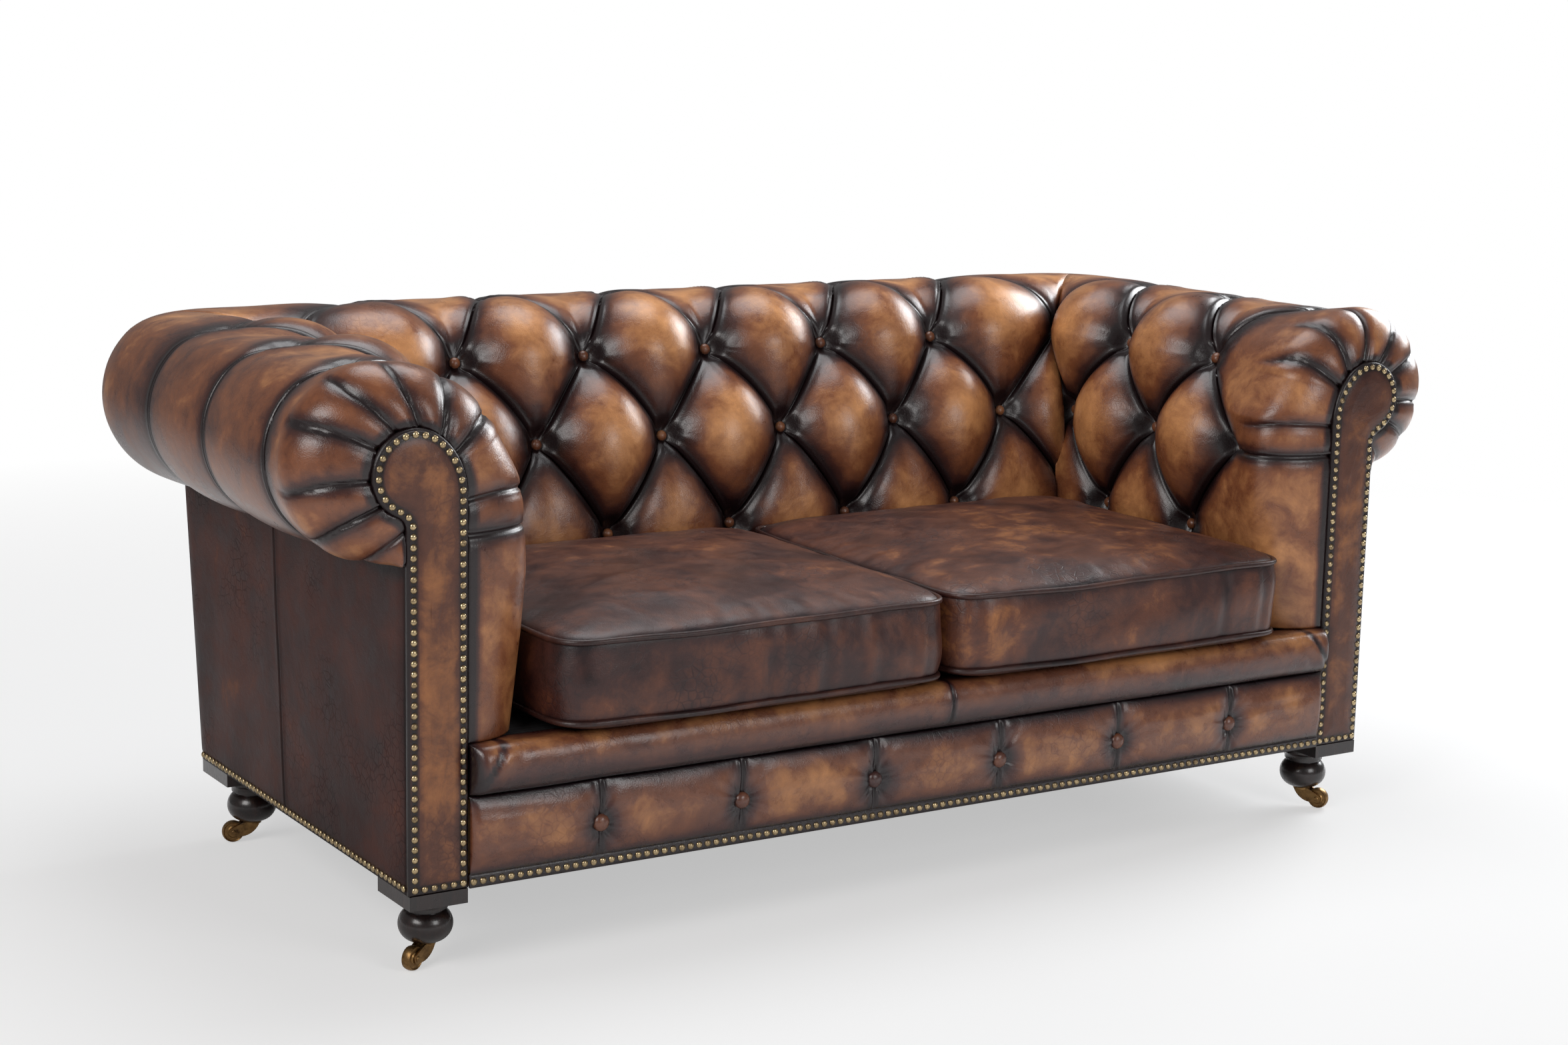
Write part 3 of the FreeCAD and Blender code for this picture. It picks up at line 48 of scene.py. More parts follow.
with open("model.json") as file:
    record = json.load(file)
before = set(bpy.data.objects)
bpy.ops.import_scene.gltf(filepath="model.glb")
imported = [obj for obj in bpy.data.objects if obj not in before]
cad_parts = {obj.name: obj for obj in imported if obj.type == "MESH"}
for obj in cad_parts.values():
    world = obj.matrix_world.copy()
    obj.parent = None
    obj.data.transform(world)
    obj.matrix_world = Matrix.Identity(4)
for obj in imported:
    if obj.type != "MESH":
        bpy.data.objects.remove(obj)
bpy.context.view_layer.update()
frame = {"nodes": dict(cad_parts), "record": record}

# Where the model's pieces lie
FACING_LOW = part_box("arm_facing_right")[0]
FACE_Y, BASE = FACING_LOW[1:]
PANEL = 0.008
SIDE_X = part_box("outside_arm_panel_right")[1][0]
BACK_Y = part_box("outside_back_panel")[0][1] + PANEL
RAKE = math.tan(math.radians(7.25))

# The rolls' centre lines, over the scrolls' heads and round the corner that joins them
SCROLL_HEIGHT, ROLL_RISE = 0.535, 0.007
ROLL_RADIUS, ROLL_CORNER = 0.123, 0.080
ROLL_HEIGHT = BASE + SCROLL_HEIGHT + ROLL_RISE
ARM_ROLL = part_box("arm_pad_right")[1][0] - ROLL_RADIUS
BACK_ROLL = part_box("back_pad")[1][1] - ROLL_RADIUS

# The pads' depth inside a roll's centre line, and height, at the seat and at the three rows of buttons
BACK_DEPTHS = (0.202, 0.202, 0.175, 0.1205)
ARM_DEPTHS = (0.153, 0.153, 0.147, 0.121)
ROW_HEIGHTS = (0.301, 0.426, 0.565, 0.686)

# Over the roll: degrees from its back at the high buttons and at its underside, and its radius at the
# high buttons, at the pleats' tufts on its top and along the pleats
HIGH_ANGLE, UNDER_ANGLE = 165.5, -96.0
HIGH_RADIUS, TUFT_RADIUS, PLEAT_RADIUS = 0.1242, 0.104, 0.116
ROLL_PULL = 0.22

# Buttons across the back and along an arm; the corner lies at the third column from the middle
BACK_PITCH, ARM_PITCH, ARM_CORNER_Y = 0.2142, 0.2075, 0.23075
CORNER = 3
SIDES = ((1, "right"), (-1, "left"))
FULL_TURN = 2 * math.pi


def smooth(value):
    """A share from 0 to 1 that starts and ends gently."""
    value = np.clip(value, 0, 1)
    return value * value * (3 - 2 * value)


def hump(value):
    """0 at both ends of the way from 0 to 1, and 1 in the middle."""
    return np.clip(4 * value * (1 - value), 0, 1)


def ridge(distance, place, width):
    """1 at a place and nothing well away from it, on both sides."""
    return np.exp(-((distance - place) / width) ** 2)


def rounded_end(distance, radius):
    """A share that rises from 0 at an end like the side of a quarter circle."""
    return np.sqrt(1 - (1 - np.clip(distance / radius, 0, 1)) ** 2)


def most(*values):
    """The greatest of several values at each point."""
    return np.maximum.reduce(np.broadcast_arrays(*values))


def section(depths, row):
    """A pad's section at crease level: depth inside the roll's centre line, and height.

    row runs from 0 at the seat over the rows of buttons to 6 at the underside of the roll.
    """
    row = np.asarray(row, float)
    keys = [np.array([depth, height]) for depth, height in zip(depths, ROW_HEIGHTS)]
    turn = np.radians(HIGH_ANGLE)
    keys.append(keys[2] + ROLL_PULL * np.array([-np.sin(turn), -np.cos(turn)]))
    place = np.clip(row, 1, 3)
    index = np.clip(np.floor(place).astype(int), 1, 2)
    share = (place - index)[..., None]
    keys = np.array(keys)
    before, start, end, after = (keys[index + step] for step in (-1, 0, 1, 2))
    curve = 0.5 * (2 * start + (end - before) * share
                   + (2 * before - 5 * start + 4 * end - after) * share ** 2
                   + (3 * start - before - 3 * end + after) * share ** 3)
    foot = keys[0] + (keys[1] - keys[0]) * np.clip(row, 0, 1)[..., None]
    angle = np.where(row < 4, HIGH_ANGLE + (90 - HIGH_ANGLE) * (row - 3),
                     90 + (UNDER_ANGLE - 90) * (row - 4) / 2)
    radius = np.where(row < 4, HIGH_RADIUS + (TUFT_RADIUS - HIGH_RADIUS) * smooth(row - 3),
                      TUFT_RADIUS + (PLEAT_RADIUS - TUFT_RADIUS) * smooth((row - 4) / 0.5))
    turn = np.radians(angle)
    roll = np.stack([-radius * np.cos(turn), ROLL_HEIGHT + radius * np.sin(turn)], -1)
    return np.where((row < 1)[..., None], foot, np.where((row < 3)[..., None], curve, roll))


def section_normal(depths, row):
    """The outward direction of a section, as depth and height."""
    step = 0.01
    ahead, behind = section(depths, row + step), section(depths, row - step)
    tangent = ahead - behind
    normal = np.stack([tangent[..., 1], -tangent[..., 0]], -1)
    return normal / np.linalg.norm(normal, axis=-1, keepdims=True)


def cover(column, row):
    """Points at crease level, and outward directions, over the back, round the corner and arm.

    column counts buttons from the middle of the back: 3 is the corner, and past it the arm.
    """
    column, row = np.broadcast_arrays(np.asarray(column, float), np.asarray(row, float))
    share = smooth(column - (CORNER - 0.5))[..., None]
    profile = section(BACK_DEPTHS, row) * (1 - share) + section(ARM_DEPTHS, row) * share
    back_depth, arm_depth = section(BACK_DEPTHS, row)[..., 0], section(ARM_DEPTHS, row)[..., 0]
    normal = (section_normal(BACK_DEPTHS, row) * (1 - share)
              + section_normal(ARM_DEPTHS, row) * share)
    start_x = (CORNER - 0.5) * BACK_PITCH
    end_y = ARM_CORNER_Y - ARM_PITCH / 2
    bend = np.clip(ROLL_CORNER - (back_depth + arm_depth) / 2, 0, None)
    run_x = ARM_ROLL - np.maximum(arm_depth, ROLL_CORNER) - start_x
    run_y = BACK_ROLL - np.maximum(back_depth, ROLL_CORNER) - end_y
    arc = bend * math.pi / 2
    middle = run_x + arc / 2
    total = run_x + arc + run_y
    along = (column - (CORNER - 0.5)) / 0.5
    way = np.where(along < 1, along * middle, middle + (along - 1) * (total - middle))
    soft = 0.03
    angle = math.pi / 2 * smooth((way - run_x + soft) / (arc + 2 * soft))
    turn = np.clip((way - run_x) / np.maximum(arc, 1e-6), 0, 1) * math.pi / 2
    x = np.where(way < run_x, start_x + way, ARM_ROLL - np.maximum(arm_depth, ROLL_CORNER)
                 + bend * np.sin(turn))
    y = np.where(way < run_x, BACK_ROLL - back_depth,
                 BACK_ROLL - np.maximum(back_depth, ROLL_CORNER) + bend * (np.cos(turn)))
    y = np.where((way >= run_x) & (way <= run_x + arc) & (bend > 0),
                 BACK_ROLL - ROLL_CORNER + bend * np.cos(turn), y)
    past = way > run_x + arc
    x = np.where(past, ARM_ROLL - arm_depth, x)
    y = np.where(past, BACK_ROLL - np.maximum(back_depth, ROLL_CORNER) - (way - run_x - arc), y)
    on_back, on_arm = column < CORNER - 0.5, column > CORNER + 0.5
    x = np.where(on_back, column * BACK_PITCH, np.where(on_arm, ARM_ROLL - arm_depth, x))
    y = np.where(on_back, BACK_ROLL - back_depth,
                 np.where(on_arm, ARM_CORNER_Y - (column - CORNER) * ARM_PITCH, y))
    angle = np.where(on_back, 0, np.where(on_arm, math.pi / 2, angle))
    point = np.stack([x, y, profile[..., 1]], -1)
    outward = np.stack([-np.sin(angle) * normal[..., 0], -np.cos(angle) * normal[..., 0],
                        normal[..., 1]], -1)
    return point, outward / np.linalg.norm(outward, axis=-1, keepdims=True)


# Painted shade in the folds: its strength, and how far it reaches from a pleat or a tuft; then the dark
# along the seams, and the darkening at the edges of pieces, which is painted shade where they meet other
# pieces
PLEAT_SHADE, PLEAT_SHADE_REACH = 0.85, 0.0085
TUFT_SHADE, TUFT_SHADE_REACH, HIGH_SHADE_REACH = 0.9, 0.033, 0.035
SEAM_WAX, SEAM_WAX_REACH = 0.7, 0.004
EDGE_DARK, EDGE_DARK_REACH = 0.8, 0.010

# Leather within this distance of a pleat has no lip yet
PLEAT_ROOT = 0.003
WELD = 0.0003


def graded(count, pull=0.105):
    """Shares from 0 to 1, closer together at both ends."""
    share = np.linspace(0, 1, count + 1)
    return share - pull * np.sin(FULL_TURN * share)


def crease_lip(distance):
    """The folded lip that runs beside a pleat, in metres, by the distance from its crease."""
    return 0.0013 * ridge(distance, 0.0042, 0.0024) - 0.0006 * ridge(distance, 0.010, 0.0035)


def calmer(row):
    """How much of the puffs' rise is left where the pad turns over the roll, by the row."""
    return 1 - 0.55 * smooth(row - 3)


def dimple(near):
    """How much of a puff's swell is left near a tuft, by the distance from it."""
    least, start, width = 0.15, 0.006, 0.022
    return least + (1 - least) * smooth((near - start) / width)


def waves(turn, random, rates, shift=0):
    """A sum of waves over a turn in radians, from (waves a turn, size) rates."""
    return sum(np.sin(turn * rate + random.uniform(0, 6.3) + shift) * size for rate, size in rates)


def drag_folds(points, tuft, random, fade):
    """Small folds that run out from a tuft."""
    away = points - tuft
    reach = np.linalg.norm(away, axis=-1)
    spread = random.uniform(1.0, 1.7)
    across = away[..., 0] * random.uniform(0.8, 1.2) + away[..., 1] + 0.15 * away[..., 2]
    turn = np.arctan2(across, np.abs(away[..., 2]) + 0.012)
    folds = waves(turn * spread, random, ((7, 0.5), (13, 0.4), (19, 0.25)))
    window = ridge(reach, 0, 0.045) * smooth(reach / 0.014)
    return 0.0017 * folds * window * fade


def new_piece(name, data):
    """A piece of the scene, at the origin."""
    piece = bpy.data.objects.new(name, data)
    bpy.context.collection.objects.link(piece)
    return piece


def closed_piece(name, shape, mirrored=False):
    """A piece from a closed bmesh, its faces outwards, or its mirror image."""
    bmesh.ops.recalc_face_normals(shape, faces=shape.faces)
    if mirrored:
        bmesh.ops.scale(shape, vec=(-1, 1, 1), verts=shape.verts)
        bmesh.ops.recalc_face_normals(shape, faces=shape.faces)
    mesh = bpy.data.meshes.new(name)
    shape.to_mesh(mesh)
    shape.free()
    return new_piece(name, mesh)


class Patches:
    """Grids of points with their wear and their painted shade, gathered into one mesh."""

    def __init__(self):
        self.points, self.faces, self.crease, self.crest = [], [], [], []
        self.count, self.side = 0, 1

    def add(self, points, crease, crest):
        """A grid of points, its first axis along the columns of buttons and its second up the rows."""
        rows, columns = points.shape[:2]
        index = np.arange(rows * columns).reshape(rows, columns) + self.count
        corners = [index[:-1, :-1], index[:-1, 1:], index[1:, 1:], index[1:, :-1]]
        if self.side > 0:
            corners.reverse()
        self.faces.append(np.stack(corners, -1).reshape(-1, 4))
        self.points.append((points * (self.side, 1, 1)).reshape(-1, 3))
        self.crease.append(np.broadcast_to(crease, (rows, columns)).ravel())
        self.crest.append(np.broadcast_to(crest, (rows, columns)).ravel())
        self.count += rows * columns

    def piece(self, name, skirt=0.012):
        """One smooth mesh of all the grids, its open rim turned inwards by skirt."""
        points, faces = np.concatenate(self.points), np.concatenate(self.faces)
        mesh = bpy.data.meshes.new(name)
        mesh.from_pydata(points.tolist(), [], faces.tolist())
        for label, values in (("crease", self.crease), ("crest", self.crest)):
            layer = mesh.attributes.new(label, "FLOAT", "POINT")
            layer.data.foreach_set("value", np.concatenate(values).astype(np.float32))
        shape = bmesh.new()
        shape.from_mesh(mesh)
        bmesh.ops.remove_doubles(shape, verts=shape.verts, dist=WELD)
        bmesh.ops.dissolve_degenerate(shape, dist=WELD / 15, edges=shape.edges)
        shape.normal_update()
        if skirt:
            rim = [edge for edge in shape.edges if edge.is_boundary]
            inward = {vertex: vertex.normal.copy() for edge in rim for vertex in edge.verts}
            grown = bmesh.ops.extrude_edge_only(shape, edges=rim)["geom"]
            fresh = [item for item in grown if isinstance(item, bmesh.types.BMVert)]
            old = {vertex.co.copy().freeze(): normal for vertex, normal in inward.items()}
            for vertex in fresh:
                vertex.co -= old[vertex.co.copy().freeze()] * skirt
        for face in shape.faces:
            face.smooth = True
        shape.to_mesh(mesh)
        shape.free()
        return new_piece(name, mesh)


def sized(points, axis):
    """The mean length of a grid's lines along one axis."""
    return np.linalg.norm(np.diff(points, axis=axis), axis=-1).sum(axis).mean()


def add_puff(patches, points, outward, lift, edge, tufts, fade, crest, random, shade_reach=TUFT_SHADE_REACH):
    """Add a puff that stands out by lift, with folds, dimples, and painted shade along its pleats and
    round its tufts.
    """
    near = np.full(edge.shape, np.inf)
    for tuft in tufts:
        lift = lift + drag_folds(points, tuft, random, fade)
        near = np.minimum(near, np.linalg.norm(points - tuft, axis=-1))
    # Painted shade: darker along the pleats and round the tufts.
    crease = most(PLEAT_SHADE * np.exp(-edge / PLEAT_SHADE_REACH), TUFT_SHADE * ridge(near, 0, shade_reach))
    patches.add(points + outward * (lift * dimple(near))[..., None], crease, crest)


def lip_along(edge):
    """The lip along a puff's pleats, by the distance from the nearest."""
    return crease_lip(edge) * smooth(edge / PLEAT_ROOT)


def diamond(patches, corners, look, random, corner_side=None, count=52):
    """A puffed diamond between four tufts: bottom, right, top and left, as (column, row).

    corner_side says which of its sides lies in the corner between the back and an arm.
    """
    u, v = np.meshgrid(graded(count), graded(count), indexing="ij")
    bottom, right, top, left = (np.array(corner, float) for corner in corners)
    place = ((1 - u)[..., None] * (1 - v)[..., None] * bottom + (u * (1 - v))[..., None] * right
             + (u * v)[..., None] * top + ((1 - u) * v)[..., None] * left)
    points, outward = cover(place[..., 0], place[..., 1])
    width, height = sized(points, 0), sized(points, 1)
    edge = np.minimum(np.minimum(u, 1 - u) * width, np.minimum(v, 1 - v) * height)
    full = (hump(u) * hump(v)) ** look.puff_edge
    on_corner = {None: (1, 1), "right": (v, 1 - u), "left": (1 - v, u)}[corner_side]
    rise = look.pleat_arch * (hump(u) * on_corner[0] + hump(v) * on_corner[1])
    puff = look.puff * random.uniform(0.93, 1.07)
    lift = (rise + puff * full) * calmer(place[..., 1]) + lip_along(edge)
    tufts = (points[0, 0], points[-1, 0], points[-1, -1], points[0, -1])
    add_puff(patches, points, outward, lift, edge, tufts, (hump(u) * hump(v)) ** 0.3, full ** 1.3,
             random)


def roll_puff(patches, column, look, random, columns=52, rows=110, half=None):
    """The puff over the roll above a high tuft, between the pleats of two top tufts.

    half is 0 or 1 for the first or the second half alone, as at a corner.
    """
    shares = graded(columns)
    if half is not None:
        shares = shares[half * columns // 2:][:columns // 2 + 1]
    u, v = np.meshgrid(shares, graded(rows, 0.12), indexing="ij")
    notch = CORNER + np.abs(2 * u - 1)
    row = 6 - (6 - notch) * (1 - v)
    points, outward = cover(column - 0.5 + u, row)
    width = sized(points, 0) * (1 if half is None else 2)
    height = sized(points, 1)
    side = np.minimum(u, 1 - u) * width
    edge = np.minimum(side, v * height * 0.8)
    beside = np.where(u < 0.5, 2 * u, 2 * u - 1)
    bulge = hump(u) ** look.puff_edge
    start = np.sin(math.pi / 2 * np.clip(v / 0.24, 0, 1)) ** 0.7
    ending = 1 - smooth((v - 0.93) / 0.07) * 0.6
    swell = look.roll_puff * (1 + 0.75 * (1 - smooth(v / 0.35)))
    lift = (look.pleat_arch * hump(beside) * (1 - smooth(v / 0.3)) * calmer(row)
            + swell * bulge * start * ending + lip_along(edge))
    tufts = [cover(*tuft)[0] for tuft in ((column - 0.5, 4), (column, 3), (column + 0.5, 4))]
    crest = (bulge * start) ** 1.3 * (1 - 0.5 * smooth((v - 0.2) / 0.3))
    add_puff(patches, points, outward, lift, edge, tufts, hump(u) ** 0.3 * smooth(v / 0.03), crest,
             random, HIGH_SHADE_REACH)


def seat_puff(patches, column, look, random, columns=44, rows=40):
    """The puff below a middle tuft, between the pleats that run down from two low tufts."""
    u, v = np.meshgrid(graded(columns), graded(rows, 0.08), indexing="ij")
    row = v * (2 - np.abs(2 * u - 1))
    points, outward = cover(column - 0.5 + u, row)
    width, height = sized(points, 0), sized(points, 1)
    edge = np.minimum(np.minimum(u, 1 - u) * width, (1 - v) * height * 0.8)
    half = np.where(u < 0.5, 2 * u, 2 * u - 1)
    closing = np.sin(math.pi / 2 * np.clip((1 - v) / 0.45, 0, 1)) ** 0.7
    full = hump(u) ** look.puff_edge * closing
    lift = (look.pleat_arch * hump(half) * smooth((v - 0.5) / 0.5) + 1.25 * look.puff * full
            + lip_along(edge))
    tufts = [cover(*tuft)[0] for tuft in ((column - 0.5, 1), (column, 2), (column + 0.5, 1))]
    add_puff(patches, points, outward, lift, edge, tufts, hump(u) ** 0.3 * smooth((1 - v) / 0.04),
             full ** 1.3, random)


# A facing's scroll: the centre and radius of its head, and the arcs that lead into it
HEAD, HEAD_RADIUS = np.array([0.788, BASE + SCROLL_HEIGHT]), 0.057
SHOULDER_RADIUS, NECK_RADIUS = 0.093, 0.017


def scroll(grow=0.0):
    """Points along a right hand facing's outline, from its inner foot over the scroll, and the way
    along them; a negative grow draws the outline in.
    """
    head, radius = HEAD, HEAD_RADIUS + grow
    shoulder_radius, neck_radius = SHOULDER_RADIUS + grow, NECK_RADIUS - grow
    inner, outer = FACING_LOW[0] - grow, SIDE_X + grow
    shoulder = np.array([inner + shoulder_radius, 0])
    shoulder[1] = head[1] - math.sqrt((shoulder_radius - radius) ** 2 - (shoulder[0] - head[0]) ** 2)
    neck = np.array([outer + neck_radius, 0])
    neck[1] = head[1] - math.sqrt((radius + neck_radius) ** 2 - (neck[0] - head[0]) ** 2)
    crown = (head - shoulder) / np.linalg.norm(head - shoulder)
    throat = (head - neck) / np.linalg.norm(head - neck)

    def arc(centre, reach, start, end):
        turn = np.linspace(start, end, 60)[1:]
        return centre + reach * np.stack([np.cos(turn), np.sin(turn)], -1)

    crown_turn = math.atan2(crown[1], crown[0])
    throat_turn = math.atan2(throat[1], throat[0])
    points = np.concatenate([
        [[inner, BASE]], [[inner, shoulder[1]]],
        arc(shoulder, shoulder_radius, math.pi, crown_turn),
        arc(head, radius, crown_turn, throat_turn - math.pi),
        arc(neck, neck_radius, throat_turn, math.pi), [[outer, BASE]]])
    return points, way_along(points)


def way_along(points):
    """How far each point of a line lies along it."""
    return np.concatenate([[0], np.cumsum(np.linalg.norm(np.diff(points, axis=0), axis=1))])


def along(points, way, place):
    """Points a given way along a line."""
    return np.stack([np.interp(place, way, points[:, axis]) for axis in range(points.shape[1])], -1)


# Where gathers run out from a facing: rows up the arm, and how deep each is
GATHERS = ((2.42, 0.6), (3.08, 1.0), (3.46, 1.0), (3.88, 0.8), (4.27, 0.9), (4.62, 1.0),
           (5.06, 0.8), (5.45, 1.0), (5.8, 0.6))

# The arm's fullest section, at FRONT_Y: rows, distance out and height, and then its reach and degrees
# from the roll's centre at the high row
FRONT_Y = -0.352
FULL_ROWS = (0, 1, 1.6, 2, 2.45, 3)
FULL_OUT = (0.636, 0.619, 0.611, 0.6125, 0.617, 0.6555)
FULL_HEIGHTS = (0.301, 0.426, 0.505, 0.565, 0.620, 0.689)
FULL_REACH, FULL_ANGLE = 0.160, 166

# Degrees round the scroll's head at which rows 3, 4, 5 and the last gather meet the facing
FACING_ANGLES = (166, 90, -3, -60)
LAST_GATHER = 5.62


def full_front(row):
    """The fullest section of an arm, just behind its front: distance out, and height."""
    x = np.interp(row, FULL_ROWS, FULL_OUT)
    z = np.interp(row, FULL_ROWS, FULL_HEIGHTS)
    angle = np.radians(np.where(row < 4, FULL_ANGLE + (90 - FULL_ANGLE) * (row - 3),
                                90 + (UNDER_ANGLE - 90) * (row - 4) / 2))
    rounding = np.sin(math.pi / 2 * np.clip(row - 3, 0, 1))
    reach = np.where(row < 4, FULL_REACH + (ROLL_RADIUS - FULL_REACH) * rounding, ROLL_RADIUS)
    roll = np.stack([ARM_ROLL + reach * np.cos(angle), ROLL_HEIGHT + reach * np.sin(angle)], -1)
    return np.where((row < 3)[..., None], np.stack([x, z], -1), roll)


def arm_front(patches, look, random):
    """The unbuttoned puff behind an arm's front, gathered round its scroll facing."""
    rows = np.concatenate([graded(36) * 2, 2 + graded(190, 0.04)[1:] * 4])
    start = np.linspace(0, 1, 34)
    start = start - 0.12 * np.sin(math.pi * start)
    turn = np.linspace(0, math.pi / 2, 36)[1:]
    outline, outline_way = scroll()

    def way_at(degrees):
        aim = np.array([math.cos(math.radians(degrees)), math.sin(math.radians(degrees))])
        away = outline - HEAD
        side = away @ np.array([-aim[1], aim[0]])
        return outline_way[np.argmin(np.where(away @ aim > 0, np.abs(side), np.inf))]

    keys = [height - BASE for height in ROW_HEIGHTS[:3]] + [way_at(angle) for angle in FACING_ANGLES]
    keys.append(outline_way[-1] - (SCROLL_HEIGHT - BASE))
    rim = along(outline, outline_way, np.interp(rows, [0, 1, 2, 3, 4, 5, LAST_GATHER, 6], keys))
    full = full_front(rows)
    slant = np.interp(rows, [1, 2, 3, 4], [5, 5.5, 5, 5.5])
    first, outward = cover(slant, rows)
    pleats = ((rows > 1) & (rows < 4)) * hump(rows % 1)
    first = first + outward * (look.pleat_arch * pleats * calmer(rows))[:, None]
    rim_y = FACE_Y + 0.0065
    columns = []
    for share in start:
        ease = math.sin(math.pi / 2 * share) ** 0.75 if share else 0
        across = first[:, [0, 2]] * (1 - ease) + full * ease
        y = first[:, 1] + (FRONT_Y - first[:, 1]) * share
        columns.append(np.stack([across[:, 0], y, across[:, 1]], -1))
    for angle in turn:
        across = full + (rim - full) * (1 - math.cos(angle))
        y = np.full(len(rows), FRONT_Y + (rim_y - FRONT_Y) * math.sin(angle))
        columns.append(np.stack([across[:, 0], y, across[:, 1]], -1))
    points = np.stack(columns, 0)
    reach = np.linalg.norm(np.gradient(points, axis=1), axis=-1) / np.gradient(rows)[None, :]
    tangent_a, tangent_b = np.gradient(points, axis=0), np.gradient(points, axis=1)
    normal = np.cross(tangent_b, tangent_a)
    normal /= np.maximum(np.linalg.norm(normal, axis=-1, keepdims=True), 1e-12)
    middle = points.mean((0, 1))
    if ((points - middle) * normal).sum() < 0:
        normal = -normal
    steps = np.concatenate([start, 1 + turn / (math.pi / 2)])[:, None] * np.ones(len(rows))
    gathered = smooth((steps - 0.55) / 0.75)
    lift = np.zeros(steps.shape)
    crease = np.zeros(steps.shape)
    nearest = np.full(steps.shape, 1.0)
    for place, strength in GATHERS:
        bend = place + 0.05 * np.sin(3 * steps + place) + random.uniform(-0.02, 0.02)
        gap = np.abs(rows[None, :] - bend) * reach
        nearest = np.minimum(nearest, gap)
        sharp = np.exp(-gap / 0.0050)
        lift -= look.gather_depth * strength * sharp * gathered
        lift += crease_lip(gap) * gathered * strength
        # Painted shade in the gathers.
        crease = np.maximum(crease, np.exp(-gap / 0.008) * gathered * 0.8 * strength)
    lift += 0.0035 * (1 - np.exp(-nearest / 0.012)) * gathered
    level = np.abs(rows[None, :] - 2) * reach
    crossing = smooth(steps / 0.12)
    lift += (crease_lip(level) - 0.0075 * np.exp(-level / 0.0055)) * crossing
    side = np.linalg.norm(points - points[:1], axis=-1)
    # Painted shade along the fold at the middle row and along the side that meets the diamonds.
    crease = most(crease, 0.85 * np.exp(-level / 0.009), 0.9 * np.exp(-side / 0.012) * (steps < 1))
    fade = smooth(side / 0.012)
    for tuft_row in (1, 2, 3, 4):
        tuft = cover(5 + 0.5 * (tuft_row % 2 == 0), tuft_row)[0]
        lift += drag_folds(points, tuft, random, fade)
        # Painted shade round the tufts.
        crease = np.maximum(crease, ridge(np.linalg.norm(points - tuft, axis=-1), 0, 0.034))
    # Painted shade where the pad runs into the facing.
    crease = np.maximum(crease, 0.8 * smooth((steps - 1.86) / 0.14))
    crest = 0.72 * smooth(side / 0.06) * (1 - crease)
    patches.add(points + normal * lift[..., None], crease, crest)


def back_cover(look):
    """The tufted pad over the back, up to the pleats in its corners."""
    random = np.random.default_rng(11)
    patches = Patches()
    for side in (1, -1):
        patches.side = side
        for k in (0, 1, 2) if side > 0 else (1, 2):
            diamond(patches, ((k, 1), (k + 0.5, 2), (k, 3), (k - 0.5, 2)), look, random)
            roll_puff(patches, k, look, random)
        for k in (0.5, 1.5, 2.5):
            seat_puff(patches, k, look, random)
            diamond(patches, ((k, 2), (k + 0.5, 3), (k, 4), (k - 0.5, 3)), look, random)
        diamond(patches, ((CORNER, 1), (CORNER, 2), (CORNER, 3), (CORNER - 0.5, 2)), look, random,
                "right")
        roll_puff(patches, CORNER, look, random, half=0)
    return patches


def arm_cover(look, side):
    """The tufted pad over one arm, from the pleats in its corner to its scroll facing."""
    random = np.random.default_rng(20 + side)
    patches = Patches()
    patches.side = side
    diamond(patches, ((CORNER, 1), (CORNER + 0.5, 2), (CORNER, 3), (CORNER, 2)), look, random, "left")
    roll_puff(patches, CORNER, look, random, half=1)
    for k in (CORNER + 0.5, CORNER + 1.5):
        seat_puff(patches, k, look, random)
        diamond(patches, ((k, 2), (k + 0.5, 3), (k, 4), (k - 0.5, 3)), look, random)
        k += 0.5
        diamond(patches, ((k, 1), (k + 0.5, 2), (k, 3), (k - 0.5, 2)), look, random)
        roll_puff(patches, k, look, random)
    arm_front(patches, look, random)
    return patches


def put(tree, kind, inputs=None, **settings):
    """A node of a tree, its settings made and its sockets filled or linked."""
    node = tree.nodes.new(kind)
    for name, value in settings.items():
        setattr(node, name, value)
    for name, value in (inputs or {}).items():
        socket = node.inputs[name]
        if isinstance(value, bpy.types.NodeSocket):
            tree.links.new(value, socket)
        else:
            socket.default_value = value
    return node


def noise(tree, place, scale, detail=5.0, rough=0.55, stretch=None, distortion=0.0):
    """A noise from 0 to 1 on the piece's own coordinates."""
    if stretch:
        place = put(tree, "ShaderNodeMapping", {"Vector": place, "Scale": stretch}).outputs[0]
    node = put(tree, "ShaderNodeTexNoise", {"Vector": place, "Scale": scale, "Detail": detail,
                                            "Roughness": rough, "Distortion": distortion})
    return node.outputs["Fac"]


def calculate(tree, operation, first, second=0.0, third=0.0, clamp=False):
    """The result of one sum on values or sockets."""
    node = put(tree, "ShaderNodeMath", {0: first, 1: second, 2: third}, operation=operation,
               use_clamp=clamp)
    return node.outputs[0]


def shades(tree, share, stops):
    """A colour for a share from 0 to 1, from (place, colour) stops."""
    ramp = put(tree, "ShaderNodeValToRGB", {"Fac": share})
    elements = ramp.color_ramp.elements
    while len(elements) < len(stops):
        elements.new(0.5)
    for element, (place, colour) in zip(elements, stops):
        element.position, element.color = place, (*colour, 1)
    return ramp.outputs["Color"]


def stretched(tree, share, low, high):
    """A share widened so that low becomes 0 and high becomes 1."""
    return put(tree, "ShaderNodeMapRange", {"Value": share, "From Min": low, "From Max": high},
               clamp=True).outputs[0]


def new_material(name):
    """The tree and the surface shader of a new material."""
    material = bpy.data.materials.new(name)
    material.use_nodes = True
    return material.node_tree, material.node_tree.nodes["Principled BSDF"]


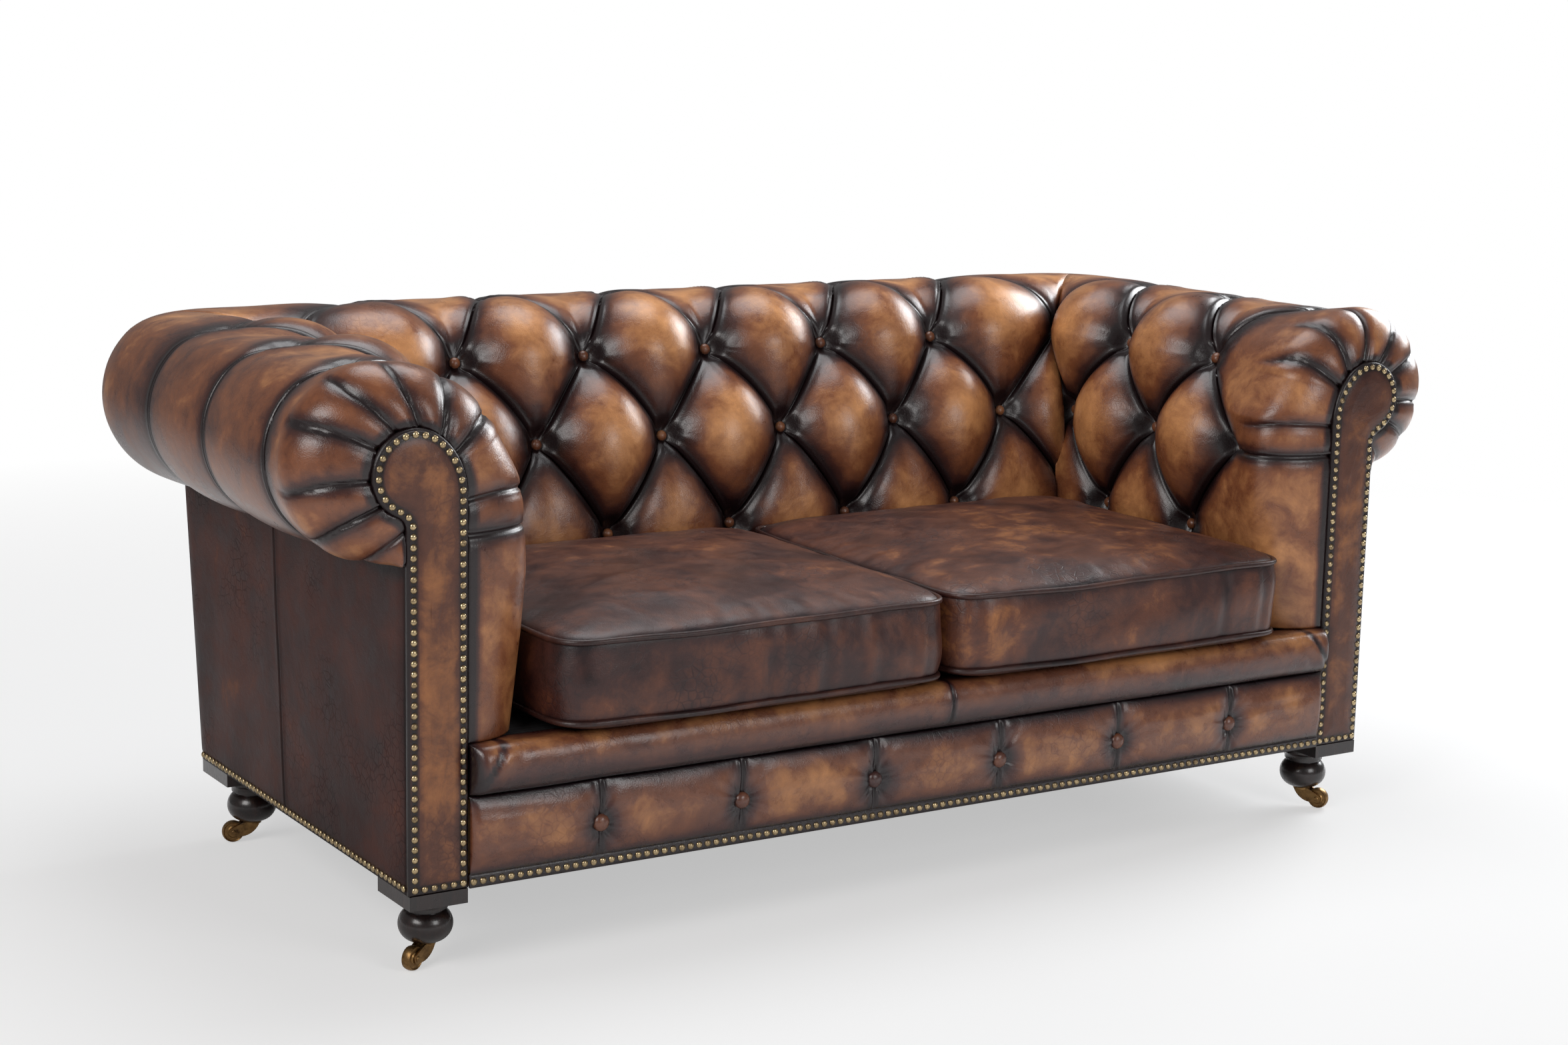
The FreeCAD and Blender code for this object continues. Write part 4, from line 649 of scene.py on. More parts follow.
def leather(name, tones, wear, mottle, rough, crackle, crest=0.0, crease=0.0, coat=0.18, sheen=0.55,
            seed=0.0):
    """Leather with painted shade in its folds and dark seams, rubbed lighter where it stands proud."""
    tree, shader = new_material(name)
    place = put(tree, "ShaderNodeTexCoord").outputs["Object"]
    place = put(tree, "ShaderNodeMapping", {"Vector": place, "Location": (seed, seed * 0.7, 0)}).outputs[0]
    clouds = stretched(tree, noise(tree, place, 5.5, 4, 0.6, distortion=0.6), 0.3, 0.7)
    patina = stretched(tree, noise(tree, place, 21, 8, 0.68, distortion=0.4), 0.3, 0.72)
    value = calculate(tree, "MULTIPLY_ADD", clouds, mottle * 0.55, wear - mottle * 0.275)
    value = calculate(tree, "ADD", value,
                      calculate(tree, "MULTIPLY_ADD", patina, mottle * 0.5, -mottle * 0.25))
    proud = put(tree, "ShaderNodeAttribute", attribute_name="crest").outputs["Fac"]
    # The mesh's attribute for painted shade in the folds and dark seams darkens the colour, scaled by the
    # given strength.
    sunk = put(tree, "ShaderNodeAttribute", attribute_name="crease").outputs["Fac"]
    value = calculate(tree, "ADD", value, calculate(tree, "MULTIPLY_ADD", proud, crest, -crest * 0.5))
    edge = calculate(tree, "MULTIPLY", sunk, calculate(tree, "MULTIPLY_ADD", patina, 0.5, 0.75))
    value = calculate(tree, "SUBTRACT", value, calculate(tree, "MULTIPLY", edge, crease))
    cells = put(tree, "ShaderNodeTexVoronoi", {"Vector": place, "Scale": 75.0, "Randomness": 1.0},
                feature="DISTANCE_TO_EDGE").outputs["Distance"]
    fissures = stretched(tree, cells, 0.10, 0.0)
    cracked = stretched(tree, noise(tree, place, 9, 3, 0.5), 0.48, 0.68)
    fissures = calculate(tree, "MULTIPLY", fissures, cracked)
    value = calculate(tree, "SUBTRACT", value, calculate(tree, "MULTIPLY", fissures, crackle * 0.35),
                      clamp=True)
    colour = shades(tree, value, list(zip((0.0, 0.32, 0.62, 1.0), tones)))
    tree.links.new(colour, shader.inputs["Base Color"])
    gloss = calculate(tree, "MULTIPLY_ADD", patina, 0.16, rough - 0.08)
    gloss = calculate(tree, "ADD", gloss, calculate(tree, "MULTIPLY", fissures, 0.12), clamp=True)
    tree.links.new(gloss, shader.inputs["Roughness"])
    grain = noise(tree, place, 520, 3, 0.6)
    pores = put(tree, "ShaderNodeTexVoronoi", {"Vector": place, "Scale": 620.0}).outputs["Distance"]
    soft = noise(tree, place, 60, 5, 0.6, distortion=0.8)
    relief = calculate(tree, "MULTIPLY_ADD", grain, 0.25, calculate(tree, "MULTIPLY", pores, 0.16))
    relief = calculate(tree, "ADD", relief, calculate(tree, "MULTIPLY", soft, 0.85))
    relief = calculate(tree, "SUBTRACT", relief, calculate(tree, "MULTIPLY", fissures, crackle * 0.9))
    bump = put(tree, "ShaderNodeBump", {"Strength": 0.45, "Distance": 0.0016, "Height": relief})
    tree.links.new(bump.outputs[0], shader.inputs["Normal"])
    shader.inputs["Specular IOR Level"].default_value = sheen
    shader.inputs["Coat Weight"].default_value = coat
    shader.inputs["Coat Roughness"].default_value = 0.28


def brass(name, tones, rough, seed=0.0):
    """Antique brass, browned in its hollows."""
    bright, tarnish = tones
    between = [0.6 * left + 0.4 * right for left, right in zip(bright, tarnish)]
    tree, shader = new_material(name)
    place = put(tree, "ShaderNodeTexCoord").outputs["Object"]
    place = put(tree, "ShaderNodeMapping", {"Vector": place, "Location": (seed, 0, seed)}).outputs[0]
    spots = stretched(tree, noise(tree, place, 130, 6, 0.7), 0.35, 0.68)
    blotches = stretched(tree, noise(tree, place, 34, 4, 0.6), 0.35, 0.65)
    share = calculate(tree, "MULTIPLY_ADD", spots, 0.55, calculate(tree, "MULTIPLY", blotches, 0.45))
    colour = shades(tree, share, ((0.15, bright), (0.62, between), (1.0, tarnish)))
    tree.links.new(colour, shader.inputs["Base Color"])
    tree.links.new(calculate(tree, "MULTIPLY_ADD", share, 0.3, rough - 0.08), shader.inputs["Roughness"])
    bump = put(tree, "ShaderNodeBump", {"Strength": 0.3, "Distance": 0.0006,
                                        "Height": noise(tree, place, 420, 5, 0.6)})
    tree.links.new(bump.outputs[0], shader.inputs["Normal"])
    shader.inputs["Metallic"].default_value = 1.0


def wood(name, tones, grain, rough, coat):
    """Wood with its grain along one axis: grain is the stretch of the pattern."""
    tree, shader = new_material(name)
    place = put(tree, "ShaderNodeTexCoord").outputs["Object"]
    rings = noise(tree, place, 1, 6, 0.62, stretch=grain, distortion=1.6)
    pores = noise(tree, place, 1, 3, 0.7, stretch=tuple(6 * part for part in grain))
    share = calculate(tree, "MULTIPLY_ADD", rings, 1.5, -0.3)
    share = calculate(tree, "SUBTRACT", share, calculate(tree, "MULTIPLY", pores, 0.25), clamp=True)
    tree.links.new(shades(tree, share, list(zip((0.1, 0.9), tones))), shader.inputs["Base Color"])
    tree.links.new(calculate(tree, "MULTIPLY_ADD", pores, 0.2, rough - 0.1), shader.inputs["Roughness"])
    bump = put(tree, "ShaderNodeBump", {"Strength": 0.25, "Distance": 0.0008, "Height": pores})
    tree.links.new(bump.outputs[0], shader.inputs["Normal"])
    shader.inputs["Coat Weight"].default_value = coat
    shader.inputs["Coat Roughness"].default_value = 0.18


def cloth(name, tones, threads):
    """Plainly woven cloth."""
    tree, shader = new_material(name)
    place = put(tree, "ShaderNodeTexCoord").outputs["Object"]
    waves = [put(tree, "ShaderNodeTexWave", {"Vector": place, "Scale": threads}, bands_direction=axis,
                 wave_profile="SIN").outputs["Fac"] for axis in ("X", "Y", "Z")]
    weave = calculate(tree, "MULTIPLY", calculate(tree, "ADD", waves[0], waves[1]), waves[2])
    share = calculate(tree, "MULTIPLY_ADD", weave, 0.4, noise(tree, place, 40, 4, 0.6))
    tree.links.new(shades(tree, share, list(zip((0.2, 0.9), tones))), shader.inputs["Base Color"])
    bump = put(tree, "ShaderNodeBump", {"Strength": 0.5, "Distance": 0.0005, "Height": weave})
    tree.links.new(bump.outputs[0], shader.inputs["Normal"])
    shader.inputs["Roughness"].default_value = 0.9


def steel(name, colour):
    """Drawn steel wire and pressed clips."""
    tree, shader = new_material(name)
    place = put(tree, "ShaderNodeTexCoord").outputs["Object"]
    marks = noise(tree, place, 260, 4, 0.6)
    tree.links.new(shades(tree, marks, ((0.3, tuple(0.7 * part for part in colour)), (0.7, colour))),
                   shader.inputs["Base Color"])
    tree.links.new(calculate(tree, "MULTIPLY_ADD", marks, 0.25, 0.25), shader.inputs["Roughness"])
    shader.inputs["Metallic"].default_value = 1.0


def sheet_piece(name, points, crease, crest, skirt, side=1):
    """One grid of points as a piece, its rim turned inwards by skirt."""
    patches = Patches()
    patches.side = side
    patches.add(points, crease, crest)
    return patches.piece(name, skirt)


def ripples(x, y, random, waves, low, high):
    """A soft random relief from -1 to 1 over two coordinates in metres."""
    total = 0
    for _ in range(waves):
        rate = FULL_TURN * random.uniform(low, high)
        turn = random.uniform(0, math.pi)
        total = total + np.sin(rate * (x * math.cos(turn) + y * math.sin(turn))
                               + random.uniform(0, 6.3))
    return total / waves


# Rings of an arm facing, from its edge inwards: inset, and depth behind the front
FACING_RINGS = ((0.0, PANEL), (0.0, 0.0042), (0.0010, 0.0016), (0.0032, 0.0002), (0.0055, 0.0),
                (0.0080, 0.0012), (0.0105, 0.0001), (0.0150, -0.0012), (0.0220, -0.0024),
                (0.0300, -0.0030))
NAIL_PITCH, NAIL_INSET, NAIL_SINK = 0.0132, 0.008, 0.0006


def facing_ring(inset, count=220, floor=10):
    """A closed ring round a facing, drawn in by inset."""
    points, way = scroll(-inset)
    ring = along(points, way, np.linspace(inset, way[-1] - inset, count))
    bottom = np.linspace(ring[-1], ring[0], floor + 2)[1:-1]
    return np.concatenate([ring, bottom])


def facing_cover(side):
    """A leather covered scroll facing, its edge rolled over and sunk along the nails."""
    random = np.random.default_rng(40 + side)
    shape = bmesh.new()
    crest = shape.verts.layers.float.new("crest")
    crease = shape.verts.layers.float.new("crease")
    rows = []
    for inset, depth in FACING_RINGS:
        ring = facing_ring(inset)
        swell = 0.0006 * ripples(ring[:, 0], ring[:, 1], random, 5, 8, 30) * (inset > 0.009)
        row = []
        for (x, z), y in zip(ring, FACE_Y + depth + swell):
            vertex = shape.verts.new((side * x, y, z))
            vertex[crest] = smooth(inset / 0.022)
            # Painted shade along the line sunk by the nails and at the rolled edge.
            vertex[crease] = ridge(inset, NAIL_INSET, 0.004) + (inset < 0.002) * EDGE_DARK
            row.append(vertex)
        rows.append(row)
    loop_strip(shape, rows)
    for end in (rows[0][::-1], rows[-1]):
        shape.faces.new(end)
    for face in shape.faces:
        face.smooth = len(face.verts) < 5
    return closed_piece("facing_cover_" + dict(SIDES)[side], shape)


# Outside panels: the seam of an arm's panel, those of the back's, how far up the leather is seen, and the
# height where the painted shade under the roll begins
ARM_SEAM_Y, BACK_SEAM_X = -0.022, 0.27
PANEL_TOP, PANEL_SHADE = 0.5555, 0.505


def seam(distance, depth=0.0022):
    """The relief of a sewn seam, by the distance from it in metres."""
    away = np.abs(distance)
    return 0.0009 * ridge(away, 0.0045, 0.0022) - depth * ridge(away, 0, 0.0016)


def with_seam(lines, place):
    """Grid lines, with some close together round a seam."""
    half = np.array([0.8, 1.6, 3, 4.5, 6.5, 9]) / 1000
    near = place + np.concatenate([-half, [0], half])
    return np.sort(np.concatenate([lines[np.abs(lines - place) > 0.012], near]))


def seam_wax(distance):
    """The dark wax along a seam."""
    return SEAM_WAX * np.exp(-np.abs(distance) / SEAM_WAX_REACH)


def foot_darkening(rise):
    """Darker at the foot of a panel, by the height above it."""
    return EDGE_DARK * np.exp(-rise / EDGE_DARK_REACH)


def side_panel(side):
    """The outside of an arm: thin leather drawn over a board, with one upright seam."""
    random = np.random.default_rng(50 + side)
    front, widest = FACE_Y + PANEL + 0.0002, 0.72
    seam_share = (ARM_SEAM_Y - front) / widest
    up = graded(60, 0.06)
    rear = 0.3009 + up * (PANEL_TOP - BASE) * RAKE
    u, v = np.meshgrid(with_seam(np.linspace(0, 1, 90), seam_share), up, indexing="ij")
    y = front + u * (rear - front)[None, :]
    rise = v * (PANEL_TOP - BASE)
    inner = smooth(np.minimum(np.minimum(y - front, rear[None, :] - y), rise) / 0.02)
    swell = 0.0022 * inner + 0.0009 * ripples(y, BASE + rise, random, 7, 2, 9) * inner
    beside = (u - seam_share) * widest
    swell = swell + seam(beside) * smooth(rise / 0.01) - 0.0012 * ridge(rise, NAIL_INSET, 0.004)
    # Dark along the seam, darker at the foot, and painted shade along the front edge by the facing and
    # under the roll.
    crease = most(seam_wax(beside), foot_darkening(rise), EDGE_DARK * np.exp(-(y - front) / 0.006),
                  smooth((BASE + rise - PANEL_SHADE) / 0.03))
    points = np.stack([SIDE_X - 0.0008 + swell, y, BASE + rise], -1)
    return sheet_piece("side_panel_" + dict(SIDES)[side], points, crease, 0.5, 0.0078, side)


def back_panel():
    """The outside of the back, in three widths of leather."""
    random = np.random.default_rng(53)
    end = SIDE_X - PANEL - 0.0006
    x = with_seam(np.linspace(-end, end, 120), -BACK_SEAM_X)
    x = with_seam(x, BACK_SEAM_X)
    across, v = np.meshgrid(x, graded(60, 0.06), indexing="ij")
    rise = v * (PANEL_TOP - BASE)
    inner = smooth(np.minimum(SIDE_X - np.abs(across), rise) / 0.02)
    swell = (0.0020 + 0.0009 * ripples(across, BASE + rise, random, 7, 2, 9)) * inner
    for place in (-BACK_SEAM_X, BACK_SEAM_X):
        swell = swell + seam(across - place)
    # Dark along the seams, darker at the foot, and painted shade under the roll.
    crease = most(seam_wax(np.abs(across) - BACK_SEAM_X), foot_darkening(rise),
                  smooth((BASE + rise - PANEL_SHADE) / 0.03))
    points = np.stack([across, BACK_Y + rise * RAKE + swell - 0.0008, BASE + rise], -1)
    return sheet_piece("back_panel", points, crease, 0.5, 0.0072)


# Apron and edge roll: the share of the apron's height that is a flat band for the nails, and the roll's
# foot, top and seam
APRON_PITCH, APRON_BUTTONS, APRON_BUTTON_Z, APRON_TOP = 0.213, 6, 0.174, 0.2326
APRON_END = FACING_LOW[0]
APRON_PLEATS = [(index - (APRON_BUTTONS - 1) / 2) * APRON_PITCH for index in range(APRON_BUTTONS)]
BAND, BAND_PROUD = 0.135, 0.0015
EDGE_LOW, EDGE_TOP, EDGE_SEAM_X = 0.2336, 0.3005, 0.008


def apron_cover(look):
    """The apron: padded between upright pleats that each button draws in, on a flat nail band."""
    random = np.random.default_rng(60)
    patches = Patches()
    ends = [-APRON_END] + APRON_PLEATS + [APRON_END]
    rows = np.concatenate([[0, 0.04, 0.085, 0.115, 0.13], BAND + graded(44, 0.07) * (1 - BAND)])
    for start, end in zip(ends, ends[1:]):
        u, v = np.meshgrid(graded(64), rows, indexing="ij")
        x = start + (end - start) * u
        z = BASE + (APRON_TOP - BASE) * v
        pad = np.clip((v - BAND) / (1 - BAND), 0, 1)
        at_left, at_right = start in APRON_PLEATS, end in APRON_PLEATS
        side = np.minimum(u if at_left else 1.0, (1 - u) if at_right else 1.0) * (end - start)
        pull = (0.45 + 0.55 * ridge(z, APRON_BUTTON_Z, 0.030)) * np.exp(-side / 0.016)
        full = np.sin(math.pi * pad) ** 0.55
        bulge = (hump(u) ** 0.3 * 0.35 + 0.65) * random.uniform(0.93, 1.05)
        ending = rounded_end(APRON_END - np.abs(x), 0.012)
        proud = BAND_PROUD * (v < BAND) + full * look.apron_puff * bulge * (1 - 0.85 * pull)
        proud = BAND_PROUD + (proud - BAND_PROUD) * ending
        fade = smooth(pad / 0.06) * smooth((1 - pad) / 0.06) * smooth(side / 0.004) * ending
        points = np.stack([x, FACE_Y - proud, z], -1)
        near = np.full(u.shape, np.inf)
        for place in (place for place, there in ((start, at_left), (end, at_right)) if there):
            away = points - (place, FACE_Y - 0.004, APRON_BUTTON_Z)
            reach = np.linalg.norm(away, axis=-1)
            near = np.minimum(near, reach)
            turn = np.arctan2(away[..., 2], np.abs(away[..., 0]) + 0.006)
            folds = waves(turn, random, ((6, 0.5), (11, 0.5), (17, 0.3)))
            points[..., 1] -= 0.0016 * folds * ridge(reach, 0, 0.05) * fade
        rough = 0.0012 * ripples(x * 0.5, z * 2.2, random, 6, 8, 26) * full
        points[..., 1] -= (lip_along(side) + rough) * fade
        # Painted shade along the pleats, round the buttons, at the foot of the padding above the nail band
        # and under the edge roll.
        crease = most(PLEAT_SHADE * np.exp(-side / 0.009), ridge(near, 0, 0.026),
                      EDGE_DARK * np.exp(-pad / 0.05), EDGE_DARK * np.exp(-(1 - pad) / 0.06))
        patches.add(points, crease, full * bulge)
    return patches.piece("apron_cover", 0.004)


def edge_roll():
    """The roll along the seat's front, in two lengths of leather, tucked under the arms."""
    random = np.random.default_rng(61)
    x = with_seam(np.linspace(-APRON_END, APRON_END, 260), EDGE_SEAM_X)
    near = APRON_END - np.array([0, 0.4, 1.2, 2.4, 4, 6, 8, 10, 13]) / 1000
    x = np.sort(np.concatenate([x[np.abs(x) < APRON_END - 0.0155], -near, near]))
    across, angle = np.meshgrid(x, np.radians(np.linspace(-80, 150, 34)), indexing="ij")
    middle, half = (EDGE_LOW + EDGE_TOP) / 2, (EDGE_TOP - EDGE_LOW) / 2
    end = APRON_END - np.abs(across)
    up, front, facing = np.sin(angle), np.clip(np.cos(angle), 0, 1), np.cos(angle - 0.12)
    taper = rounded_end(end, 0.016)
    slump = 0.0018 * ripples(across, angle * 0.05, random, 8, 1.5, 7)
    depth = 0.0285 * np.clip(facing, 0, 1) ** 0.8 * taper - 0.034 * np.clip(-facing, 0, 1)
    height = middle + half * up * (1 - 0.02 * np.exp(-end / 0.01))
    height = np.where(angle > math.pi / 2, EDGE_TOP - 0.002 * (angle - math.pi / 2), height)
    tucked = end - 0.022 * up
    folds = (0.002 * ridge(tucked, 0.031, 0.006) - 0.0035 * ridge(tucked, 0.020, 0.0035)
             - 0.0018 * ridge(tucked, 0.052, 0.004))
    wrinkle = 0.0006 * ripples(across, angle * 0.03, random, 9, 12, 45) * front
    proud = depth + (slump + seam(across - EDGE_SEAM_X, 0.003) + folds + wrinkle) * front * taper
    points = np.stack([across, FACE_Y - proud, height + slump * 0.5 * up], -1)
    # Dark along the seam, and painted shade at the ends tucked under the arms, on the underside and in the
    # tuck's fold.
    crease = most(0.8 * np.exp(-np.abs(across - EDGE_SEAM_X) / SEAM_WAX_REACH),
                  np.exp(-end / EDGE_DARK_REACH), np.clip((-0.62 - up) / 0.38, 0, 1),
                  0.8 * ridge(tucked, 0.020, 0.005))
    return sheet_piece("edge_roll", points, crease, np.clip(np.sin(angle + 0.5), 0, 1), 0.004)


# Seat cushions, and the roundness of their corners
PIPE_LOW, PIPE_TOP, PIPE_RADIUS = 0.316, 0.422, 0.004
CORNER_POWER = 2 / 11
CUSHION_GRID = 96
CUSHION_HALF = 0.29


def box_middle(node):
    """The middle and the half sizes of a node's box."""
    low, high = (np.array(corner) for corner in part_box(node))
    return (low + high) / 2, (high - low) / 2


def cushion_outline(count):
    """The right hand cushion's middle, and points round it, square but for its rounded corners."""
    middle, half = (part[:2] for part in box_middle("cushion_piping_right"))
    angle = np.linspace(0, FULL_TURN, count, endpoint=False)
    ring = np.stack([np.cos(angle), np.sin(angle)], -1)
    return middle, np.sign(ring) * np.abs(ring) ** CORNER_POWER * (half - PIPE_RADIUS)


def even_ring(points, count):
    """A closed ring resampled to evenly spaced points."""
    closed = np.concatenate([points, points[:1]])
    way = way_along(closed)
    return along(closed, way, np.linspace(0, way[-1], count, endpoint=False))


def loop_strip(shape, rows):
    """Quads between closed rings of vertices."""
    for low, high in zip(rows, rows[1:]):
        for index in range(len(low)):
            ahead = (index + 1) % len(low)
            shape.faces.new((low[index], low[ahead], high[ahead], high[index]))


def grid_faces(shape, grid, count, over=True):
    """Quads over a square grid of vertices by (column, row), facing up or, if not over, down."""
    for i in range(count):
        for j in range(count):
            corners = [grid[i, j], grid[i + 1, j], grid[i + 1, j + 1], grid[i, j + 1]]
            shape.faces.new(corners if over else corners[:1] + corners[:0:-1])


def square_way(last):
    """The rim of a square grid, as (column, row) steps in order round it."""
    return ([(last, step) for step in range(last)] + [(last - step, last) for step in range(last)]
            + [(0, last - step) for step in range(last)] + [(step, 0) for step in range(last)])


def cushion_cover(name, side, look):
    """One loose boxed cushion: crowned top, bulging border and flat bottom, with soft wrinkles."""
    random = np.random.default_rng(70 + side)
    count, centre = CUSHION_GRID, CUSHION_GRID / 2
    middle, plan = cushion_outline(1600)
    plan_angle = np.arctan2(plan[:, 1] / np.ptp(plan[:, 1]), plan[:, 0] / np.ptp(plan[:, 0]))
    order = np.argsort(plan_angle)

    def rim(column, row):
        turn = np.arctan2(row - centre, column - centre)
        return np.stack([np.interp(turn, plan_angle[order], plan[order, axis], period=FULL_TURN)
                         for axis in (0, 1)], -1)

    column, row = np.meshgrid(np.arange(count + 1), np.arange(count + 1), indexing="ij")
    share = np.maximum(np.abs(column - centre), np.abs(row - centre)) / centre
    x, y = np.moveaxis(rim(column, row) * share[..., None], -1, 0)
    crown = look.cushion_crown * (1 - share ** 2.34) ** 0.62
    puddle = ripples(x, y, random, 9, 1.2, 4.5)
    creases = ripples(x, y, random, 12, 9, 26)
    sharp = -np.abs(ripples(x, y, random, 5, 3, 8)) ** 0.5
    top = PIPE_TOP + crown + smooth((1 - share) / 0.25) * (
        0.0052 * puddle + 0.0007 * creases + 0.0030 * (sharp + 0.45))
    rim_folds = waves(np.arctan2(y, x), random, ((23, 0.4), (37, 0.5), (61, 0.35)))
    top += 0.0007 * rim_folds * smooth((1 - share) / 0.03) * hump(
        np.clip((share - 0.82) / 0.18, 0, 1)) ** 0.5
    shape = bmesh.new()
    crest_layer = shape.verts.layers.float.new("crest")
    crease_layer = shape.verts.layers.float.new("crease")

    def corner(place, height, crest, crease):
        vertex = shape.verts.new((middle[0] + place[0], middle[1] + place[1], height))
        vertex[crest_layer], vertex[crease_layer] = float(crest), float(crease)
        return vertex

    # Painted shade near the rim of the top, next to the piping.
    grid = {(i, j): corner((x[i, j], y[i, j]), top[i, j],
                           0.5 + 0.32 * puddle[i, j] + 0.25 * smooth(1 - share[i, j]),
                           0.9 * math.exp(-(1 - share[i, j]) / 0.012))
            for i in range(count + 1) for j in range(count + 1)}
    grid_faces(shape, grid, count)
    way = square_way(count)
    outline = rim(*np.array(way).T)
    tangent = np.roll(outline, -1, axis=0) - np.roll(outline, 1, axis=0)
    outward = np.stack([tangent[:, 1], -tangent[:, 0]], -1)
    outward /= np.linalg.norm(outward, axis=1, keepdims=True)
    length = way_along(outline)
    turn = length / length[-1] * FULL_TURN
    strips = [[grid[place] for place in way]]
    wrinkle = waves(turn, random, ((31, 0.5), (53, 0.6), (83, 0.35)), 1.4 * np.sin(3 * turn))
    where = smooth((np.sin(turn * 3 + 1.1 * side) + 0.5) / 0.8)
    for level in np.linspace(0, 1, 26)[1:]:
        fold = look.cushion_wrinkle * wrinkle * where * hump(level) ** 0.35
        sway = 0.0022 * np.sin(turn * 5 + 5 * level + side) * hump(level)
        reach = look.cushion_border * hump(level) ** 0.7 + fold + sway
        # Painted shade next to the piping at both edges of the border.
        crease = 0.9 * max(math.exp(-level / 0.06), math.exp(-(1 - level) / 0.06))
        height = PIPE_TOP + (PIPE_LOW - PIPE_TOP) * level
        strips.append([corner(place, height, 0.5 + 180 * rise, crease)
                       for place, rise in zip(outline + outward * reach[:, None], fold)])
    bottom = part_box("seat_cushion_right")[0][2]
    flat_inset, flat_height = 0.05, bottom + 0.0005
    # The strips under the border and the flat bottom take some painted shade too.
    for inset, height in ((0.004, 0.311), (0.012, 0.306), (0.028, bottom + 0.002),
                          (flat_inset, flat_height)):
        strips.append([corner(place, height, 0.4, 0.5) for place in outline * (1 - inset / CUSHION_HALF)])
    loop_strip(shape, strips)
    flat = dict(zip(way, strips[-1]))
    scale = 1 - flat_inset / CUSHION_HALF
    for i in range(1, count):
        for j in range(1, count):
            flat[i, j] = corner((x[i, j] * scale, y[i, j] * scale), flat_height, 0.4, 0.3)
    grid_faces(shape, flat, count, over=False)
    for face in shape.faces:
        face.smooth = True
    return closed_piece(name, shape, side < 0)


def rounded_ring(middle, half, corner, steps=(60, 150)):
    """Points round a rectangle with rounded corners, with a fixed count along each side."""
    quarter = np.linspace(0, math.pi / 2, 9)
    arcs = []
    for index, ways in enumerate(((1, 1), (-1, 1), (-1, -1), (1, -1))):
        angle = quarter + index * math.pi / 2
        centre = middle + np.array(ways) * (half - corner)
        arcs.append(centre + corner * np.stack([np.cos(angle), np.sin(angle)], -1))
    rows = []
    for index, arc in enumerate(arcs):
        side = np.linspace(arc[-1], arcs[(index + 1) % 4][0], steps[(index + 1) % 2] + 2)[1:-1]
        rows += [arc, side]
    return np.concatenate(rows)


def deck_cover():
    """The sprung deck under the cushions, its lining cloth drawn down over soft edges."""
    middle, half = (part[:2] for part in box_middle("seat_deck_pad"))
    low, high = (corner[2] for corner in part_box("seat_deck_pad"))
    soft, corner = 0.016, 0.030
    bend = np.linspace(0, math.pi / 2, 9)
    under = [(soft * (1 - math.sin(turn)), low + soft * (1 - math.cos(turn))) for turn in bend]
    wall = [(0, height) for height in np.linspace(low + soft, high - soft, 8)[1:-1]]
    over = [(soft * (1 - math.cos(turn)), high - soft * (1 - math.sin(turn))) for turn in bend]
    deep = [(inset, high) for inset in np.linspace(soft, half[1] - 0.004, 34)[1:]]
    shape = bmesh.new()
    strips = []
    for inset, height in under + wall + over + deep:
        ring = rounded_ring(middle, half - inset, max(corner - inset, 0.003))
        waver = ripples(*ring.T, np.random.default_rng(84), 9, 2, 12)
        sag = 0.0012 + 0.005 * math.exp(-inset / 0.04) - 0.0010 * waver
        heights = height - sag * smooth((height - low - soft) / (high - low - soft))
        strips.append([shape.verts.new((*place, z)) for place, z in zip(ring, heights)])
    loop_strip(shape, strips)
    for end in (strips[0][::-1], strips[-1]):
        shape.faces.new(end)
    for face in shape.faces:
        face.smooth = True
    return closed_piece("deck_cover", shape)


def piping_path(side):
    """The two closed lines of a cushion's piping, just outside its border's edges."""
    middle, plan = cushion_outline(700)
    plan = even_ring(plan, 520) * 1.008
    turn = np.linspace(0, FULL_TURN, len(plan), endpoint=False)
    sway = 0.0012 * np.sin(5 * turn + side) + 0.0008 * np.sin(11 * turn)
    return [np.stack([side * (middle[0] + plan[:, 0]), middle[1] + plan[:, 1], height + sway], -1)
            for height in (PIPE_TOP, PIPE_LOW)]


def node_tree(name, inputs):
    """A geometry node group with a geometry input and the named inputs, in (kind, name, value)."""
    tree = bpy.data.node_groups.new(name, "GeometryNodeTree")
    tree.interface.new_socket("Geometry", in_out="INPUT", socket_type="NodeSocketGeometry")
    for kind, label, value in inputs:
        socket = tree.interface.new_socket(label, in_out="INPUT", socket_type=kind)
        if value is not None:
            socket.default_value = value
    tree.interface.new_socket("Geometry", in_out="OUTPUT", socket_type="NodeSocketGeometry")
    return tree, tree.nodes.new("NodeGroupInput"), tree.nodes.new("NodeGroupOutput")


def evaluated(piece, tree, values, name):
    """A plain mesh piece made by a node group run on a piece, which is then removed."""
    modifier = piece.modifiers.new("shape", "NODES")
    modifier.node_group = tree
    for item in tree.interface.items_tree:
        if item.item_type == "SOCKET" and item.in_out == "INPUT" and item.name in values:
            modifier[item.identifier] = values[item.name]
    graph = bpy.context.evaluated_depsgraph_get()
    mesh = bpy.data.meshes.new_from_object(piece.evaluated_get(graph), depsgraph=graph)
    mesh.name = name
    old = piece.data
    bpy.data.objects.remove(piece)
    if isinstance(old, bpy.types.Mesh):
        bpy.data.meshes.remove(old)
    else:
        bpy.data.curves.remove(old)
    return new_piece(name, mesh)


